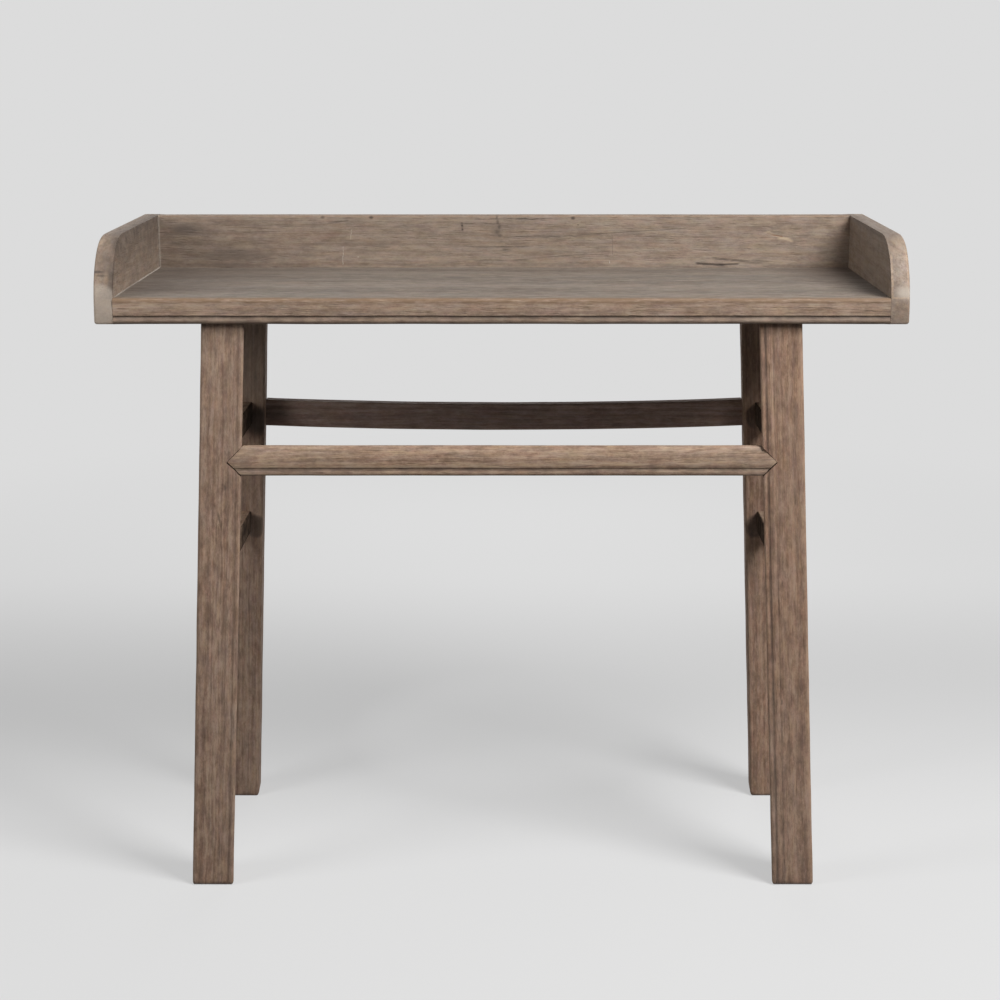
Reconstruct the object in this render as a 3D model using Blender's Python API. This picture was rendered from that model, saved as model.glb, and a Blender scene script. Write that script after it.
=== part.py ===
"""Hall table with splayed legs, a moulded front stretcher and a low three-sided gallery.

Metres, +Z up, origin on the floor under the middle of the table, front toward -Y.
The legs and stretchers are drawn upright and then leaned outward together, so that
tenons and mortises keep their fit at any splay.
"""
from math import cos, pi, sin

import bmesh
import bpy
from mathutils import Vector
from mathutils.geometry import interpolate_bezier

# Overall sizes
TABLE_WIDTH = 1.020
TABLE_DEPTH = 0.376
TOP_HEIGHT = 0.781
TOP_THICKNESS = 0.033
GALLERY_HEIGHT = 0.073
END_BOARD_THICKNESS = 0.024
BACK_BOARD_THICKNESS = 0.024
CLEARANCE = 0.0003

# Curved front of the end boards
END_CURVE_START = 0.014
END_CURVE_DEPTH = 0.088
END_CURVE_STEPS = 14
BOARD_EDGE = 0.0015

# Planks of the top
FRONT_PLANK_SHARE = 0.52
TONGUE_LENGTH = 0.008
TOP_EDGE = 0.003

# Bead and groove on the top, the front legs and the front stretcher
BEAD_WIDTH = 0.009
LEG_BEAD_WIDTH = 0.0072
STRETCHER_BEAD_WIDTH = 0.0077
GROOVE_WIDTH = 0.0018
GROOVE_DEPTH = 0.0016
TOP_RISE = 0.0015
LEG_RISE = 0.0012
STRETCHER_RISE = 0.008
LEG_LINE_PLACE = 0.0160
LEG_LINE_WIDTH = 0.0024
LEG_LINE_DEPTH = 0.0009
ARC_STEPS = 4

# Legs
LEG_WIDTH = 0.0485
LEG_DEPTH = 0.050
FACE_FLARE = 0.007
LEG_INSET_X = 0.132
FRONT_LEG_INSET = 0.009
REAR_LEG_INSET = 0.0277
SPLAY_X = 0.0345
FRONT_SPLAY = 0.0113
REAR_SPLAY = 0.030
LEG_EDGE = 0.004
WEDGE_THICKNESS = 0.003

# Stretchers
FRONT_STRETCHER_TOP = 0.5912
FRONT_STRETCHER_HEIGHT = 0.038
FRONT_STRETCHER_THICKNESS = 0.026
MITRE_DEPTH = 0.019
MITRE_RISE = 0.0182
REAR_STRETCHER_TOP = 0.5975
REAR_STRETCHER_HEIGHT = 0.0405
REAR_STRETCHER_THICKNESS = 0.022
REAR_STRETCHER_SAG = 0.006
SAG_STEPS = 12
UPPER_SIDE_TOP = 0.597
LOWER_SIDE_TOP = 0.438
SIDE_HEIGHT = 0.033
SIDE_THICKNESS = 0.026
SIDE_SETBACK = 0.0056
STRETCHER_EDGE = 0.003

# Battens and dowels
BATTEN_X = 0.170
BATTEN_WIDTH = 0.030
BATTEN_FLARE = 0.003
BATTEN_DROP = 0.010
BATTEN_SETBACK = 0.085
DOWEL_RADIUS = 0.004
DOWEL_LENGTH = 0.036
DOWEL_SIDES = 16

# Joinery in proportion to the pieces that it joins
TONGUE_THICKNESS = 0.3 * TOP_THICKNESS
LEG_TENON_SIDE = 0.52 * min(LEG_WIDTH, LEG_DEPTH)
LEG_TENON_LENGTH = 0.6 * TOP_THICKNESS
WEDGE_LENGTH = 0.75 * LEG_TENON_LENGTH
MITRE_THICKNESS = 0.46 * FRONT_STRETCHER_THICKNESS
FRONT_TENON = 0.38 * FRONT_STRETCHER_THICKNESS
STRETCHER_CROWN = 0.3 * FRONT_STRETCHER_THICKNESS
STRETCHER_FALL = 0.15 * FRONT_STRETCHER_THICKNESS
REAR_TENON = 0.45 * REAR_STRETCHER_THICKNESS
SIDE_TENON = 0.38 * SIDE_THICKNESS
SHOULDER_SHARE = 0.15
END_TENON_LENGTH = 0.6 * LEG_WIDTH
SIDE_TENON_LENGTH = 0.7 * (LEG_DEPTH - MITRE_THICKNESS - FRONT_TENON)
BATTEN_DEPTH = 0.25 * TOP_THICKNESS
DOWEL_IN_BOARD = 0.58 * min(END_BOARD_THICKNESS, BACK_BOARD_THICKNESS)

# Planes that several pieces share
UNDERSIDE = TOP_HEIGHT - TOP_THICKNESS
RAIL_TOP = TOP_HEIGHT + GALLERY_HEIGHT
FRONT = -TABLE_DEPTH / 2
BACK = TABLE_DEPTH / 2
BACK_FACE = BACK - BACK_BOARD_THICKNESS
HALF_WIDTH = TABLE_WIDTH / 2
INNER_END = HALF_WIDTH - END_BOARD_THICKNESS
PLANK_END = INNER_END - CLEARANCE
SEAM = FRONT + FRONT_PLANK_SHARE * (BACK_FACE - FRONT)
MID_TOP = UNDERSIDE + TOP_THICKNESS / 2
LEG_OUTER = HALF_WIDTH - LEG_INSET_X
LEG_INNER = LEG_OUTER - LEG_WIDTH
FACE_INNER = LEG_INNER - FACE_FLARE
FRONT_LEG_FACE = TABLE_DEPTH / 2 - FRONT_LEG_INSET
REAR_LEG_FACE = TABLE_DEPTH / 2 - REAR_LEG_INSET
LEG_MID_X = LEG_OUTER - LEG_WIDTH / 2
SIDE_OUTER = LEG_OUTER - SIDE_SETBACK
SIDE_MID_X = SIDE_OUTER - SIDE_THICKNESS / 2
FRONT_STRETCHER_BOTTOM = FRONT_STRETCHER_TOP - FRONT_STRETCHER_HEIGHT
REAR_STRETCHER_BOTTOM = REAR_STRETCHER_TOP - REAR_STRETCHER_HEIGHT
BACK_DOWEL_X = (BATTEN_X / 2, (BATTEN_X + LEG_INNER) / 2)

# Wood tones, each with its roughness
FINISHES = {
    "top_elm": ((0.240, 0.195, 0.160), 0.62),
    "gallery_elm": ((0.255, 0.192, 0.148), 0.60),
    "leg_elm": ((0.205, 0.138, 0.100), 0.58),
    "stretcher_elm": ((0.250, 0.174, 0.126), 0.58),
    "joinery_elm": ((0.330, 0.235, 0.150), 0.70),
}


def clear_scene():
    """Remove what the scene holds at the start."""
    for old in list(bpy.data.objects):
        bpy.data.objects.remove(old, do_unlink=True)


def make_finishes():
    """Make one material for each wood tone."""
    materials = {}
    for name, (colour, roughness) in FINISHES.items():
        material = bpy.data.materials.new(name)
        material.use_nodes = True
        shader = material.node_tree.nodes["Principled BSDF"]
        shader.inputs["Base Color"].default_value = (*colour, 1.0)
        shader.inputs["Roughness"].default_value = roughness
        shader.inputs["Metallic"].default_value = 0.0
        materials[name] = material
    return materials


def add_object(name, bm, location):
    """Turn a bmesh drawn in table coordinates into an object that sits at its own location."""
    bmesh.ops.translate(bm, vec=-Vector(location), verts=bm.verts)
    bmesh.ops.recalc_face_normals(bm, faces=bm.faces)
    mesh = bpy.data.meshes.new(name)
    bm.to_mesh(mesh)
    bm.free()
    piece = bpy.data.objects.new(name, mesh)
    bpy.context.scene.collection.objects.link(piece)
    piece.parent = table
    piece.location = location
    return piece


def add_piece(name, bm, location, finish):
    """Add a visible piece of the table with its wood tone."""
    piece = add_object(name, bm, location)
    piece.data.materials.append(finishes[finish])
    return piece


def add_tool(name, bm):
    """Add a hidden solid that only cuts or extends other pieces."""
    tool = add_object(name, bm, (0.0, 0.0, 0.0))
    tool.hide_render = True
    tool.display_type = "WIRE"
    return tool


def combine(piece, tool, operation):
    """Put a Boolean modifier on a piece."""
    modifier = piece.modifiers.new(tool.name, "BOOLEAN")
    modifier.operation = operation
    modifier.solver = "EXACT"
    modifier.object = tool


def add_prism(bm, outline, start, end):
    """Extrude a closed outline of 3D points by the step from start to end."""
    base = bm.faces.new([bm.verts.new(Vector(point) + Vector(start)) for point in outline])
    grown = bmesh.ops.extrude_face_region(bm, geom=[base])
    top = [item for item in grown["geom"] if isinstance(item, bmesh.types.BMVert)]
    bmesh.ops.translate(bm, vec=Vector(end) - Vector(start), verts=top)


def add_box(bm, low, high):
    """Add a box between two corners and return its vertices."""
    made = bmesh.ops.create_cube(bm, size=1.0)["verts"]
    size = Vector(high) - Vector(low)
    bmesh.ops.scale(bm, vec=size, verts=made)
    bmesh.ops.translate(bm, vec=(Vector(low) + Vector(high)) / 2, verts=made)
    return made


def bevel_along(bm, axis, radius):
    """Round the edges that run along one axis."""
    edges = []
    for edge in bm.edges:
        step = edge.verts[1].co - edge.verts[0].co
        if abs(step[axis]) > 0.999 * step.length:
            edges.append(edge)
    bmesh.ops.bevel(bm, geom=edges, offset=radius, segments=3, profile=0.5, affect="EDGES")


def leg_face(sy):
    """Distance of a leg's outward face from the middle of the table, at its head."""
    return FRONT_LEG_FACE if sy < 0 else REAR_LEG_FACE


def leg_back(sy):
    """Distance of a leg's inward face from the middle of the table, at its head."""
    return leg_face(sy) - LEG_DEPTH


def leg_middle(sy):
    """Distance of a leg's axis from the middle of the table, at its head."""
    return leg_face(sy) - LEG_DEPTH / 2


def leg_splay(sy):
    """How far a foot stands forward or rearward of the leg's head."""
    return FRONT_SPLAY if sy < 0 else REAR_SPLAY


def lean(bm):
    """Move upright legs and stretchers outward, more the nearer they are to the floor."""
    reach_x = LEG_INNER * 0.75
    reach_y = min(leg_back(-1), leg_back(1)) * 0.5
    for vertex in bm.verts:
        drop = max(0.0, (UNDERSIDE - vertex.co.z) / UNDERSIDE)
        side = max(-1.0, min(1.0, vertex.co.x / reach_x))
        depth = max(-1.0, min(1.0, vertex.co.y / reach_y))
        vertex.co.x += SPLAY_X * drop * side
        vertex.co.y += leg_splay(depth) * drop * depth


def arc(centre_a, centre_b, radius, start):
    """Quarter circle of points, counted from a start angle in quarter turns."""
    points = []
    for step in range(ARC_STEPS + 1):
        angle = (start + step / ARC_STEPS) * pi / 2
        points.append((centre_a + radius * cos(angle), centre_b + radius * sin(angle)))
    return points


def bead(width, rise):
    """Beaded edge as (across, depth) points, from the side face to the plain front face."""
    half = width / 2
    points = [(half - a, half - b) for a, b in arc(0.0, 0.0, half, 0)]
    quarter = [step / ARC_STEPS * pi / 2 for step in range(1, ARC_STEPS + 1)]
    points += [(half + half * sin(t), GROOVE_DEPTH * (1 - cos(t))) for t in quarter]
    foot = width + GROOVE_WIDTH
    points.append((foot, GROOVE_DEPTH))
    points += [(foot + rise * (1 - cos(t)), GROOVE_DEPTH * (1 - sin(t))) for t in quarter]
    return points


def add_dowel(bm, centre, axis, radius, length):
    """Add a round dowel along X or Y."""
    made = bmesh.ops.create_cone(
        bm, cap_ends=True, segments=DOWEL_SIDES, radius1=radius, radius2=radius, depth=length
    )["verts"]
    for vertex in made:
        x, y, z = vertex.co
        vertex.co = (z, x, y) if axis == "X" else (y, z, x)
    bmesh.ops.translate(bm, vec=Vector(centre), verts=made)


def dowel_places():
    """Name, centre and axis of every dowel."""
    places = []
    shift = DOWEL_LENGTH / 2 - DOWEL_IN_BOARD
    front_width = SEAM - FRONT
    rear_width = BACK_FACE - SEAM
    rows = (
        FRONT + 0.25 * front_width,
        FRONT + 0.75 * front_width,
        SEAM + 0.25 * rear_width,
        SEAM + 0.75 * rear_width,
    )
    mid_back = BACK_FACE + BACK_BOARD_THICKNESS / 2
    for side, sign in (("left", -1), ("right", 1)):
        x = sign * (INNER_END - shift)
        for number, y in enumerate(rows, start=1):
            places.append((f"{side}_end_dowel_{number}", (x, y, MID_TOP), "X"))
        for level, share in (("lower", 0.3), ("upper", 0.7)):
            z = TOP_HEIGHT + share * GALLERY_HEIGHT
            places.append((f"{side}_corner_dowel_{level}", (x, mid_back, z), "X"))
        for number, distance in enumerate(BACK_DOWEL_X, start=1):
            centre = (sign * distance, BACK_FACE - shift, MID_TOP)
            places.append((f"{side}_back_dowel_{number}", centre, "Y"))
    return places


def build_dowels():
    """Make the dowels and the drill that opens their holes."""
    drill = bmesh.new()
    for name, centre, axis in dowel_places():
        bm = bmesh.new()
        add_dowel(bm, centre, axis, DOWEL_RADIUS, DOWEL_LENGTH)
        add_piece(name, bm, centre, "joinery_elm")
        add_dowel(drill, centre, axis, DOWEL_RADIUS + CLEARANCE, DOWEL_LENGTH + 2 * CLEARANCE)
    return add_tool("dowel_holes", drill)


def batten_outline(gap):
    """Dovetail section of a batten as (across, height) points, widened by a gap."""
    mouth = BATTEN_WIDTH / 2 - BATTEN_FLARE + gap
    crown = BATTEN_WIDTH / 2 + gap
    foot = UNDERSIDE - BATTEN_DROP - 10 * gap
    return [
        (-mouth, foot),
        (mouth, foot),
        (mouth, UNDERSIDE),
        (crown, UNDERSIDE + BATTEN_DEPTH + gap),
        (-crown, UNDERSIDE + BATTEN_DEPTH + gap),
        (-mouth, UNDERSIDE),
    ]


def build_battens():
    """Make the two battens and the slots that they slide into from the rear."""
    start = FRONT + BATTEN_SETBACK
    slots = bmesh.new()
    for side, sign in (("left", -1), ("right", 1)):
        x = sign * BATTEN_X
        bm = bmesh.new()
        outline = [(x + a, 0.0, z) for a, z in batten_outline(0.0)]
        add_prism(bm, outline, (0, start, 0), (0, BACK_FACE - 2 * CLEARANCE, 0))
        add_piece(f"{side}_batten", bm, (x, (start + BACK_FACE) / 2, UNDERSIDE), "joinery_elm")
        outline = [(x + a, 0.0, z) for a, z in batten_outline(CLEARANCE)]
        add_prism(slots, outline, (0, start - CLEARANCE, 0), (0, BACK_FACE + BATTEN_DEPTH, 0))
    return add_tool("batten_slots", slots)


def leg_corners():
    """Name of each leg and the sides that it stands on."""
    return {
        "front_left": (-1, -1),
        "front_right": (1, -1),
        "rear_left": (-1, 1),
        "rear_right": (1, 1),
    }


def build_top_mortises():
    """Make the tool that opens the leg mortises in the underside of the top."""
    bm = bmesh.new()
    reach = LEG_TENON_SIDE / 2 + CLEARANCE
    for sx, sy in leg_corners().values():
        x, y = sx * LEG_MID_X, sy * leg_middle(sy)
        low = (x - reach, y - reach, UNDERSIDE - BATTEN_DROP)
        high = (x + reach, y + reach, UNDERSIDE + LEG_TENON_LENGTH + CLEARANCE)
        add_box(bm, low, high)
    return add_tool("leg_sockets", bm)


def build_top(tools):
    """Make the two planks of the top, joined by a tongue and a groove."""
    low = MID_TOP - TONGUE_THICKNESS / 2
    high = MID_TOP + TONGUE_THICKNESS / 2
    rear = SEAM - CLEARANCE / 2
    outline = [(FRONT + depth, UNDERSIDE + across) for across, depth in bead(BEAD_WIDTH, TOP_RISE)]
    outline += [(FRONT + TOP_EDGE + a, TOP_HEIGHT - TOP_EDGE + b)
                for a, b in reversed(arc(0.0, 0.0, TOP_EDGE, 1))]
    outline += [
        (rear, TOP_HEIGHT),
        (rear, high + CLEARANCE),
        (rear - TONGUE_LENGTH - CLEARANCE, high + CLEARANCE),
        (rear - TONGUE_LENGTH - CLEARANCE, low - CLEARANCE),
        (rear, low - CLEARANCE),
        (rear, UNDERSIDE),
    ]
    bm = bmesh.new()
    add_prism(bm, [(0.0, y, z) for y, z in outline], (-PLANK_END, 0, 0), (PLANK_END, 0, 0))
    front_plank = add_piece("front_top_plank", bm, (0, (FRONT + SEAM) / 2, MID_TOP), "top_elm")

    front = SEAM + CLEARANCE / 2
    end = BACK_FACE - CLEARANCE
    outline = [
        (front, UNDERSIDE),
        (front, low),
        (front - TONGUE_LENGTH, low),
        (front - TONGUE_LENGTH, high),
        (front, high),
        (front, TOP_HEIGHT),
        (end, TOP_HEIGHT),
        (end, UNDERSIDE),
    ]
    bm = bmesh.new()
    add_prism(bm, [(0.0, y, z) for y, z in outline], (-PLANK_END, 0, 0), (PLANK_END, 0, 0))
    rear_plank = add_piece("rear_top_plank", bm, (0, (SEAM + BACK_FACE) / 2, MID_TOP), "top_elm")
    for plank in (front_plank, rear_plank):
        for tool in tools:
            combine(plank, tool, "DIFFERENCE")


def end_board_outline():
    """Side view of an end board as (depth, height) points."""
    begin = Vector((FRONT, UNDERSIDE + END_CURVE_START))
    finish = Vector((FRONT + END_CURVE_DEPTH, RAIL_TOP))
    curve = interpolate_bezier(
        begin,
        begin + Vector((0.0, 0.41 * (finish.y - begin.y))),
        finish - Vector((0.77 * END_CURVE_DEPTH, 0.0)),
        finish,
        END_CURVE_STEPS,
    )
    points = [(point[0], point[1]) for point in curve]
    points += [(BACK, RAIL_TOP), (BACK, UNDERSIDE)]
    points += [(FRONT + TOP_EDGE + a, UNDERSIDE + TOP_EDGE + b)
               for a, b in reversed(arc(0.0, 0.0, TOP_EDGE, 2))]
    return points


def build_gallery(drill):
    """Make the two shaped end boards and the back board between them."""
    for side, sign in (("left", -1), ("right", 1)):
        bm = bmesh.new()
        outline = [(0.0, y, z) for y, z in end_board_outline()]
        add_prism(bm, outline, (sign * INNER_END, 0, 0), (sign * HALF_WIDTH, 0, 0))
        rims = [edge for edge in bm.edges if abs(edge.verts[0].co.x - edge.verts[1].co.x) < CLEARANCE]
        bmesh.ops.bevel(bm, geom=rims, offset=BOARD_EDGE, segments=2, profile=0.5, affect="EDGES")
        place = (sign * (HALF_WIDTH + INNER_END) / 2, 0.0, UNDERSIDE)
        board = add_piece(f"{side}_end_board", bm, place, "gallery_elm")
        combine(board, drill, "DIFFERENCE")
    bm = bmesh.new()
    add_box(bm, (-PLANK_END, BACK_FACE, UNDERSIDE), (PLANK_END, BACK, RAIL_TOP))
    bevel_along(bm, 0, BOARD_EDGE)
    place = (0.0, (BACK_FACE + BACK) / 2, UNDERSIDE)
    board = add_piece("back_board", bm, place, "gallery_elm")
    combine(board, drill, "DIFFERENCE")


def flare_at(depth):
    """How far the inner face of a front leg lies outward from its front edge at a depth."""
    start = LEG_BEAD_WIDTH / 2
    return FACE_FLARE * max(0.0, depth - start) / (LEG_DEPTH - LEG_EDGE - start)


def leg_outline(sx, sy):
    """Plan of a leg. A front leg widens to its face, and has a bead and a scored line by its inner edge."""
    inner = FACE_INNER if sy < 0 else LEG_INNER
    back_u = LEG_INNER - inner + LEG_EDGE
    far_u = LEG_OUTER - inner - LEG_EDGE
    far_v = LEG_DEPTH - LEG_EDGE
    if sy < 0:
        points = bead(LEG_BEAD_WIDTH, LEG_RISE)
        for share, depth in ((0.0, 0.0), (0.3, LEG_LINE_DEPTH), (0.7, LEG_LINE_DEPTH), (1.0, 0.0)):
            points.append((LEG_LINE_PLACE + share * LEG_LINE_WIDTH, depth))
    else:
        points = arc(LEG_EDGE, LEG_EDGE, LEG_EDGE, 2)
    points += arc(far_u, LEG_EDGE, LEG_EDGE, 3)
    points += arc(far_u, far_v, LEG_EDGE, 0)
    points += arc(back_u, far_v, LEG_EDGE, 1)
    return [(sx * (inner + u), sy * (leg_face(sy) - v), 0.0) for u, v in points]


def add_wedge(bm, sx, sy, gap):
    """Add the wedge of a leg tenon, or with a gap the saw cut that it spreads."""
    x, y = sx * LEG_MID_X, sy * leg_middle(sy)
    crown = UNDERSIDE + LEG_TENON_LENGTH
    foot = crown - WEDGE_LENGTH - gap
    wide = WEDGE_THICKNESS / 2 + gap
    narrow = WEDGE_THICKNESS / 4 + gap
    reach = LEG_TENON_SIDE / 2 + 4 * gap
    lift = 4 * gap
    outline = [
        (x - narrow, y, foot),
        (x + narrow, y, foot),
        (x + wide, y, crown + lift),
        (x - wide, y, crown + lift),
    ]
    add_prism(bm, outline, (0, -reach, 0), (0, reach, 0))


def front_tenon(sx, gap):
    """Corners of a front stretcher tenon on one side, widened by a gap."""
    near = sx * (LEG_INNER - END_TENON_LENGTH)
    far = sx * (LEG_INNER + END_TENON_LENGTH + gap)
    front = -FRONT_LEG_FACE + MITRE_THICKNESS - CLEARANCE
    shoulder = SHOULDER_SHARE * FRONT_STRETCHER_HEIGHT
    low = (min(near, far), front - gap, FRONT_STRETCHER_BOTTOM + shoulder - gap)
    high = (max(near, far), front + FRONT_TENON + gap, FRONT_STRETCHER_TOP - shoulder + gap)
    return low, high


def rear_tenon(sx, gap):
    """Corners of a rear stretcher tenon on one side, widened by a gap."""
    near = sx * (LEG_INNER - LEG_EDGE)
    far = sx * (LEG_INNER + END_TENON_LENGTH + gap)
    middle = REAR_LEG_FACE - REAR_STRETCHER_THICKNESS / 2
    reach = REAR_TENON / 2 + gap
    shoulder = SHOULDER_SHARE * REAR_STRETCHER_HEIGHT
    low = (min(near, far), middle - reach, REAR_STRETCHER_BOTTOM + shoulder - gap)
    high = (max(near, far), middle + reach, REAR_STRETCHER_TOP - shoulder + gap)
    return low, high


def side_tenon(sx, sy, top, gap):
    """Corners of a side stretcher tenon at one end, widened by a gap."""
    near = sy * (leg_back(sy) - LEG_EDGE)
    far = sy * (leg_back(sy) + SIDE_TENON_LENGTH + gap)
    x = sx * SIDE_MID_X
    reach = SIDE_TENON / 2 + gap
    shoulder = SHOULDER_SHARE * SIDE_HEIGHT
    low = (x - reach, min(near, far), top - SIDE_HEIGHT + shoulder - gap)
    high = (x + reach, max(near, far), top - shoulder + gap)
    return low, high


def build_leg_mortises():
    """Make the tool that opens the stretcher mortises in the legs."""
    bm = bmesh.new()
    for sx in (-1, 1):
        add_box(bm, *front_tenon(sx, CLEARANCE))
        add_box(bm, *rear_tenon(sx, CLEARANCE))
        for sy in (-1, 1):
            for top in (UPPER_SIDE_TOP, LOWER_SIDE_TOP):
                add_box(bm, *side_tenon(sx, sy, top, CLEARANCE))
    lean(bm)
    return add_tool("stretcher_mortises", bm)


def build_notches():
    """Make the tool that opens the pointed notches in the faces of the front legs."""
    bm = bmesh.new()
    tip_z = FRONT_STRETCHER_BOTTOM + MITRE_RISE
    shift = 1.4 * CLEARANCE
    run_up = (FRONT_STRETCHER_TOP - tip_z) / MITRE_DEPTH
    run_down = MITRE_RISE / MITRE_DEPTH
    start = FACE_INNER - MITRE_DEPTH / 2
    tip = FACE_INNER + MITRE_DEPTH + shift
    for sx in (-1, 1):
        outline = [
            (sx * start, 0.0, tip_z - run_down * (tip - start)),
            (sx * tip, 0.0, tip_z),
            (sx * start, 0.0, tip_z + run_up * (tip - start)),
        ]
        back = -FRONT_LEG_FACE + MITRE_THICKNESS + CLEARANCE
        add_prism(bm, outline, (0, -FRONT_LEG_FACE - LEG_EDGE, 0), (0, back, 0))
    lean(bm)
    return add_tool("mitre_notches", bm)


def build_legs():
    """Make the four legs with their top tenons, mortises and wedges."""
    mortises = build_leg_mortises()
    notches = build_notches()
    kerfs = bmesh.new()
    for sx, sy in leg_corners().values():
        add_wedge(kerfs, sx, sy, CLEARANCE)
    kerf_tool = add_tool("wedge_kerfs", kerfs)
    reach = LEG_TENON_SIDE / 2
    for name, (sx, sy) in leg_corners().items():
        bm = bmesh.new()
        add_prism(bm, leg_outline(sx, sy), (0, 0, 0), (0, 0, UNDERSIDE - CLEARANCE))
        lean(bm)
        foot = (sx * (LEG_MID_X + SPLAY_X), sy * (leg_middle(sy) + leg_splay(sy)), 0.0)
        leg = add_piece(f"{name}_leg", bm, foot, "leg_elm")

        x, y = sx * LEG_MID_X, sy * leg_middle(sy)
        bm = bmesh.new()
        low = (x - reach, y - reach, UNDERSIDE - LEG_EDGE)
        add_box(bm, low, (x + reach, y + reach, UNDERSIDE + LEG_TENON_LENGTH))
        combine(leg, add_tool(f"{name}_tenon", bm), "UNION")
        combine(leg, kerf_tool, "DIFFERENCE")
        combine(leg, mortises, "DIFFERENCE")
        if sy < 0:
            combine(leg, notches, "DIFFERENCE")

        bm = bmesh.new()
        add_wedge(bm, sx, sy, 0.0)
        add_piece(f"{name}_wedge", bm, (x, y, UNDERSIDE), "joinery_elm")


def cut_end(bm, point, normal):
    """Saw off what lies beyond a plane and close the cut."""
    everything = bm.verts[:] + bm.edges[:] + bm.faces[:]
    bmesh.ops.bisect_plane(bm, geom=everything, plane_co=point, plane_no=normal, clear_outer=True)
    bmesh.ops.holes_fill(bm, edges=bm.edges[:], sides=0)


def build_front_stretcher():
    """Make the moulded front stretcher with its pointed ends and tenons."""
    points = bead(STRETCHER_BEAD_WIDTH, STRETCHER_RISE)
    start = points[-1][0]
    for step in range(1, ARC_STEPS + 1):
        turn = step / ARC_STEPS * pi / 2
        across = start + (FRONT_STRETCHER_HEIGHT - start) * sin(turn)
        points.append((across, STRETCHER_CROWN * (1 - cos(turn))))
    points += [(FRONT_STRETCHER_HEIGHT, MITRE_THICKNESS), (0.0, MITRE_THICKNESS)]
    outline = [(0.0, -FRONT_LEG_FACE + depth, FRONT_STRETCHER_BOTTOM + across) for across, depth in points]
    bm = bmesh.new()
    tip = FACE_INNER + 2 * MITRE_DEPTH
    add_prism(bm, outline, (-tip, 0, 0), (tip, 0, 0))
    for sx in (-1, 1):
        upper = Vector((sx * (FRONT_STRETCHER_HEIGHT - MITRE_RISE), 0.0, MITRE_DEPTH)).normalized()
        lower = Vector((sx * MITRE_RISE, 0.0, -MITRE_DEPTH)).normalized()
        cut_end(bm, (sx * FACE_INNER, 0.0, FRONT_STRETCHER_TOP), upper)
        cut_end(bm, (sx * FACE_INNER, 0.0, FRONT_STRETCHER_BOTTOM), lower)
    lean(bm)
    middle = (0.0, -FRONT_LEG_FACE, FRONT_STRETCHER_TOP - FRONT_STRETCHER_HEIGHT / 2)
    stretcher = add_piece("front_stretcher", bm, middle, "stretcher_elm")

    bm = bmesh.new()
    near = 0.8 * MITRE_THICKNESS
    plan = []
    for sx, depth in ((-1, near), (1, near), (1, FRONT_STRETCHER_THICKNESS), (-1, FRONT_STRETCHER_THICKNESS)):
        shoulder = FACE_INNER + flare_at(depth) - CLEARANCE
        plan.append((sx * shoulder, -FRONT_LEG_FACE + depth, 0.0))
    add_prism(bm, plan, (0, 0, FRONT_STRETCHER_BOTTOM), (0, 0, FRONT_STRETCHER_TOP))
    for vertex in bm.verts:
        if vertex.co.z > middle[2] and vertex.co.y > -FRONT_LEG_FACE + MITRE_THICKNESS:
            vertex.co.z -= STRETCHER_FALL
    lean(bm)
    combine(stretcher, add_tool("front_stretcher_core", bm), "UNION")

    bm = bmesh.new()
    for sx in (-1, 1):
        add_box(bm, *front_tenon(sx, 0.0))
    lean(bm)
    combine(stretcher, add_tool("front_stretcher_tenons", bm), "UNION")


def build_rear_stretcher():
    """Make the plain rear stretcher, which sags in the middle of its span."""
    shoulder = LEG_INNER - CLEARANCE
    upper = []
    lower = []
    for step in range(SAG_STEPS + 1):
        share = 2 * step / SAG_STEPS - 1
        sag = REAR_STRETCHER_SAG * (1 - share * share)
        upper.append((share * shoulder, 0.0, REAR_STRETCHER_TOP - sag))
        lower.append((share * shoulder, 0.0, REAR_STRETCHER_BOTTOM - sag))
    bm = bmesh.new()
    rear = REAR_LEG_FACE
    add_prism(bm, lower + upper[::-1], (0, rear - REAR_STRETCHER_THICKNESS, 0), (0, rear, 0))
    lean(bm)
    middle = (0.0, rear, REAR_STRETCHER_TOP - REAR_STRETCHER_HEIGHT / 2)
    stretcher = add_piece("rear_stretcher", bm, middle, "stretcher_elm")
    bm = bmesh.new()
    for sx in (-1, 1):
        add_box(bm, *rear_tenon(sx, 0.0))
    lean(bm)
    combine(stretcher, add_tool("rear_stretcher_tenons", bm), "UNION")


def build_side_stretchers():
    """Make the upper and lower stretcher on each side."""
    for side, sx in (("left", -1), ("right", 1)):
        for level, top in (("upper", UPPER_SIDE_TOP), ("lower", LOWER_SIDE_TOP)):
            name = f"{side}_{level}_stretcher"
            x = sx * SIDE_MID_X
            bm = bmesh.new()
            low = (x - SIDE_THICKNESS / 2, -leg_back(-1) + CLEARANCE, top - SIDE_HEIGHT)
            add_box(bm, low, (x + SIDE_THICKNESS / 2, leg_back(1) - CLEARANCE, top))
            bevel_along(bm, 1, STRETCHER_EDGE)
            lean(bm)
            stretcher = add_piece(name, bm, (x, 0.0, top - SIDE_HEIGHT / 2), "stretcher_elm")
            bm = bmesh.new()
            for sy in (-1, 1):
                add_box(bm, *side_tenon(sx, sy, top, 0.0))
            lean(bm)
            combine(stretcher, add_tool(f"{name}_tenons", bm), "UNION")


clear_scene()
finishes = make_finishes()
table = bpy.data.objects.new("hall_table", None)
bpy.context.scene.collection.objects.link(table)

dowel_drill = build_dowels()
batten_slots = build_battens()
leg_sockets = build_top_mortises()
build_top((leg_sockets, batten_slots, dowel_drill))
build_gallery(dowel_drill)
build_legs()
build_front_stretcher()
build_rear_stretcher()
build_side_stretchers()
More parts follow.
